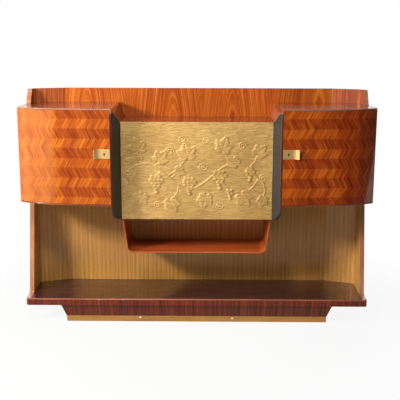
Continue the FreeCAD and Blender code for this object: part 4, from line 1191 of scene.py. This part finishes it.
# each bunch: its place in shares, its rows, a berry's radius
BUNCH_SHARES = ((-0.54, -0.12, 6, 0.0112), (-0.10, -0.16, 6, 0.0108), (0.30, -0.02, 6, 0.0114),
                (0.70, 0.06, 5, 0.0106), (-0.88, -0.02, 5, 0.0100), (0.44, -0.40, 4, 0.0092))
# each tendril: its place in shares, its size, its turns, the hand it winds
CURL_SHARES = ((-0.36, 0.40, 0.026, 1.7, 1), (0.08, 0.10, 0.024, 1.6, -1),
               (0.88, -0.14, 0.024, 1.7, 1), (-0.90, 0.22, 0.020, 1.5, -1),
               (0.60, 0.52, 0.022, 1.6, 1), (-0.20, 0.66, 0.018, 1.4, -1),
               (0.12, 0.62, 0.020, 1.5, 1), (-0.52, -0.70, 0.020, 1.5, 1),
               (0.30, -0.72, 0.020, 1.5, -1))
panel_low, panel_high = (Vector(corner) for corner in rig.box("relief_panel"))
wide = panel_high.x - panel_low.x
high = panel_high.z - panel_low.z
middle_z = (panel_high.z + panel_low.z) / 2


def at(share_x, share_z):
    """A place on the panel, in shares of its half-width and half-height."""
    return share_x * wide / 2, middle_z + share_z * high / 2


def vine(share):
    """The main stem: a long wave across the panel."""
    wave = math.sin(share * math.tau * VINE_WAVES + VINE_PHASE)
    return at(VINE_LEFT + VINE_LONG * share, VINE_LEVEL + VINE_SWING * wave)


def nearest_on(points, place):
    return min(points, key=lambda point: math.hypot(point[0] - place[0], point[1] - place[1]))


main_stem = [vine(step / VINE_STEPS) for step in range(VINE_STEPS + 1)]
stems = [(main_stem, STEM_RADIUS)]
lobes = []
berries = []
for share_x, share_z, angle, long in LEAF_SHARES:
    centre = at(share_x, share_z)
    lobes += leaf_lobes(centre, angle, long)
    foot = nearest_on(main_stem, centre)
    bow = ((foot[0] + centre[0]) / 2 + STALK_BOW, (foot[1] + centre[1]) / 2)
    stems.append(([foot, bow, centre], STALK_RADIUS))
for share_x, share_z, rows, radius in BUNCH_SHARES:
    top = at(share_x, share_z)
    berries += bunch_berries(top, rows, radius)
    stems.append(([nearest_on(main_stem, top), top], STALK_RADIUS))
for share_x, share_z, size, turns, hand in CURL_SHARES:
    stems.append((curl(at(share_x, share_z), size, turns, hand), CURL_RADIUS))
print(len(lobes), "lobes,", len(berries), "berries,", len(stems), "stems")

# %% Raised points of the grid
COLUMNS = 250
ROWS = 378
heights = {}


def push(points, margin, height_at):
    """Raises the grid to a motif's height, within a margin round the motif's points."""
    across, up = zip(*points)
    first_column = max(0, int((min(across) - margin - panel_low.x) / wide * COLUMNS))
    last_column = min(COLUMNS, int((max(across) + margin - panel_low.x) / wide * COLUMNS) + 1)
    first_row = max(0, int((min(up) - margin - panel_low.z) / high * ROWS))
    last_row = min(ROWS, int((max(up) + margin - panel_low.z) / high * ROWS) + 1)
    for column in range(first_column, last_column + 1):
        x = panel_low.x + wide * column / COLUMNS
        for row in range(first_row, last_row + 1):
            value = height_at(x, panel_low.z + high * row / ROWS)
            if value > heights.get((column, row), 0.0):
                heights[column, row] = value


for points, radius in stems:
    for first, last in zip(points, points[1:]):
        push((first, last), radius, lambda x, z: stem(x, z, first, last, radius))
for root, angle, long, width in lobes:
    push([root], long, lambda x, z: lobe(x, z, root, angle, long, width))
for centre, radius in berries:
    push([centre], radius, lambda x, z: berry(x, z, centre, radius))
print(len(heights), "raised points")

# %% [markdown]
# ## The carver's ground
# Between the motifs the ground is not flat: level cuts of a small gouge wander over it and
# catch the light as short strokes. Noise that changes fast upwards and slowly across gives
# them, and it fades out where a motif rises. The grid's rim is then pulled back to the board,
# which closes the panel.

# %% Carved surface
GROUND = 0.0048
RELIEF = 0.0041
GOUGE_DEPTH = 0.00070
GOUGE_FADES = 3
GOUGE_WANDER = 0.012
STROKE_CONTRAST = 0.3  # 0 leaves the noise as it is; more flattens the ground between strokes


def noise_at(x, z, layer):
    return noise.noise(Vector((x, z, layer)))


def tool_marks(x, z):
    """Shallow level gouges that wander over the whole ground."""
    z += noise_at(x * 8, z * 12, 0.5) * GOUGE_WANDER
    stroke = noise_at(x * 42, z * 165, 3.1)
    return 2.0 * stroke * abs(stroke) ** STROKE_CONTRAST + 0.4 * noise_at(x * 11, z * 60, 8.3)


panel = bmesh.new()
bmesh.ops.create_grid(panel, x_segments=COLUMNS, y_segments=ROWS, size=0.5)
for vert in panel.verts:
    column = round((vert.co.x + 0.5) * COLUMNS)
    row = round((vert.co.y + 0.5) * ROWS)
    x = panel_low.x + wide * column / COLUMNS
    z = panel_low.z + high * row / ROWS
    raised = heights.get((column, row), 0.0)
    ground = tool_marks(x, z) * GOUGE_DEPTH * (1 - min(1.0, raised * GOUGE_FADES))
    vert.co = (x, panel_high.y - GROUND - RELIEF * raised - ground, z)
rim = bmesh.ops.extrude_edge_only(panel, edges=[edge for edge in panel.edges if edge.is_boundary])
for vert in (item for item in rim["geom"] if isinstance(item, bmesh.types.BMVert)):
    vert.co.y = panel_high.y
bmesh.ops.contextual_create(panel, geom=[edge for edge in panel.edges if edge.is_boundary])
bmesh.ops.recalc_face_normals(panel, faces=panel.faces)
panel_mesh = mesh_data(panel, "carved_panel")
carved = finished("carved_panel", panel_mesh, "flap", "relief_panel", relief_gilt, smooth=60)
print("carved panel", len(carved.data.polygons), "faces")

# %% [markdown]
# ## Fittings
# The pulls are bent from brass strip. Their CAD shape is right, so each gets the same easing
# as the boards, only finer, which turns the strip's cut edges into thin bright lines. The
# small faces inside the keyhole take the black ebonised finish, painted shade for the dark of the hole.

# %% Pulls, locks and the flap's board
# how near the keyhole and how small a face must be to be painted black as shade
KEYHOLE_REACH = 0.0095
SMALL_FACE = 0.00006


def keyhole_shade_face(face):
    """1 for the small faces round the keyhole, painted black as shade, 0 for the rest."""
    middle = face.calc_center_median()
    reach = math.hypot(abs(middle.x) - key_x, middle.z - KEY_V)
    return 1 if reach < KEYHOLE_REACH and face.calc_area() < SMALL_FACE else 0


for side in SIDES:
    eased(side + "_pull", 0.0005, pull_gold, ebonised, choose=keyhole_shade_face)
    eased(side + "_lock_case", 0.0008, brass)
eased("flap_board", 0.0008, inner_wood)
print("pulls, locks and the fall front's board eased")

# %% [markdown]
# ## Nodes kept as they are
# Hinges, pins, studs, stays and catches have the right shape already. They only take a
# material, as do the back boards, whose edges lie against their neighbours.

# %% Materials of the kept nodes
KEPT = {
    "back_panel": back_board,
    "left_canted_panel": cant_board,
    "right_canted_panel": cant_board,
    "plinth_blocks": inner_wood,
    "bar_mirror": mirror_glass,
    "glass_shelf": shelf_glass,
    "ball_catches": steel,
    "left_lock_bolt": steel,
    "right_lock_bolt": steel,
}
for node, thing in frame["nodes"].items():
    material = KEPT.get(node, brass)
    thing.data.materials.clear()
    thing.data.materials.append(material)
print("materials on", len(frame["nodes"]), "nodes")

# %% Write the sizes and finish
json.dump({"cad": [list(corner) for corner in cad_bounds],
           "visual": [list(corner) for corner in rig.bounds()]}, open("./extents.json", "w"))
print(open("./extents.json").read())
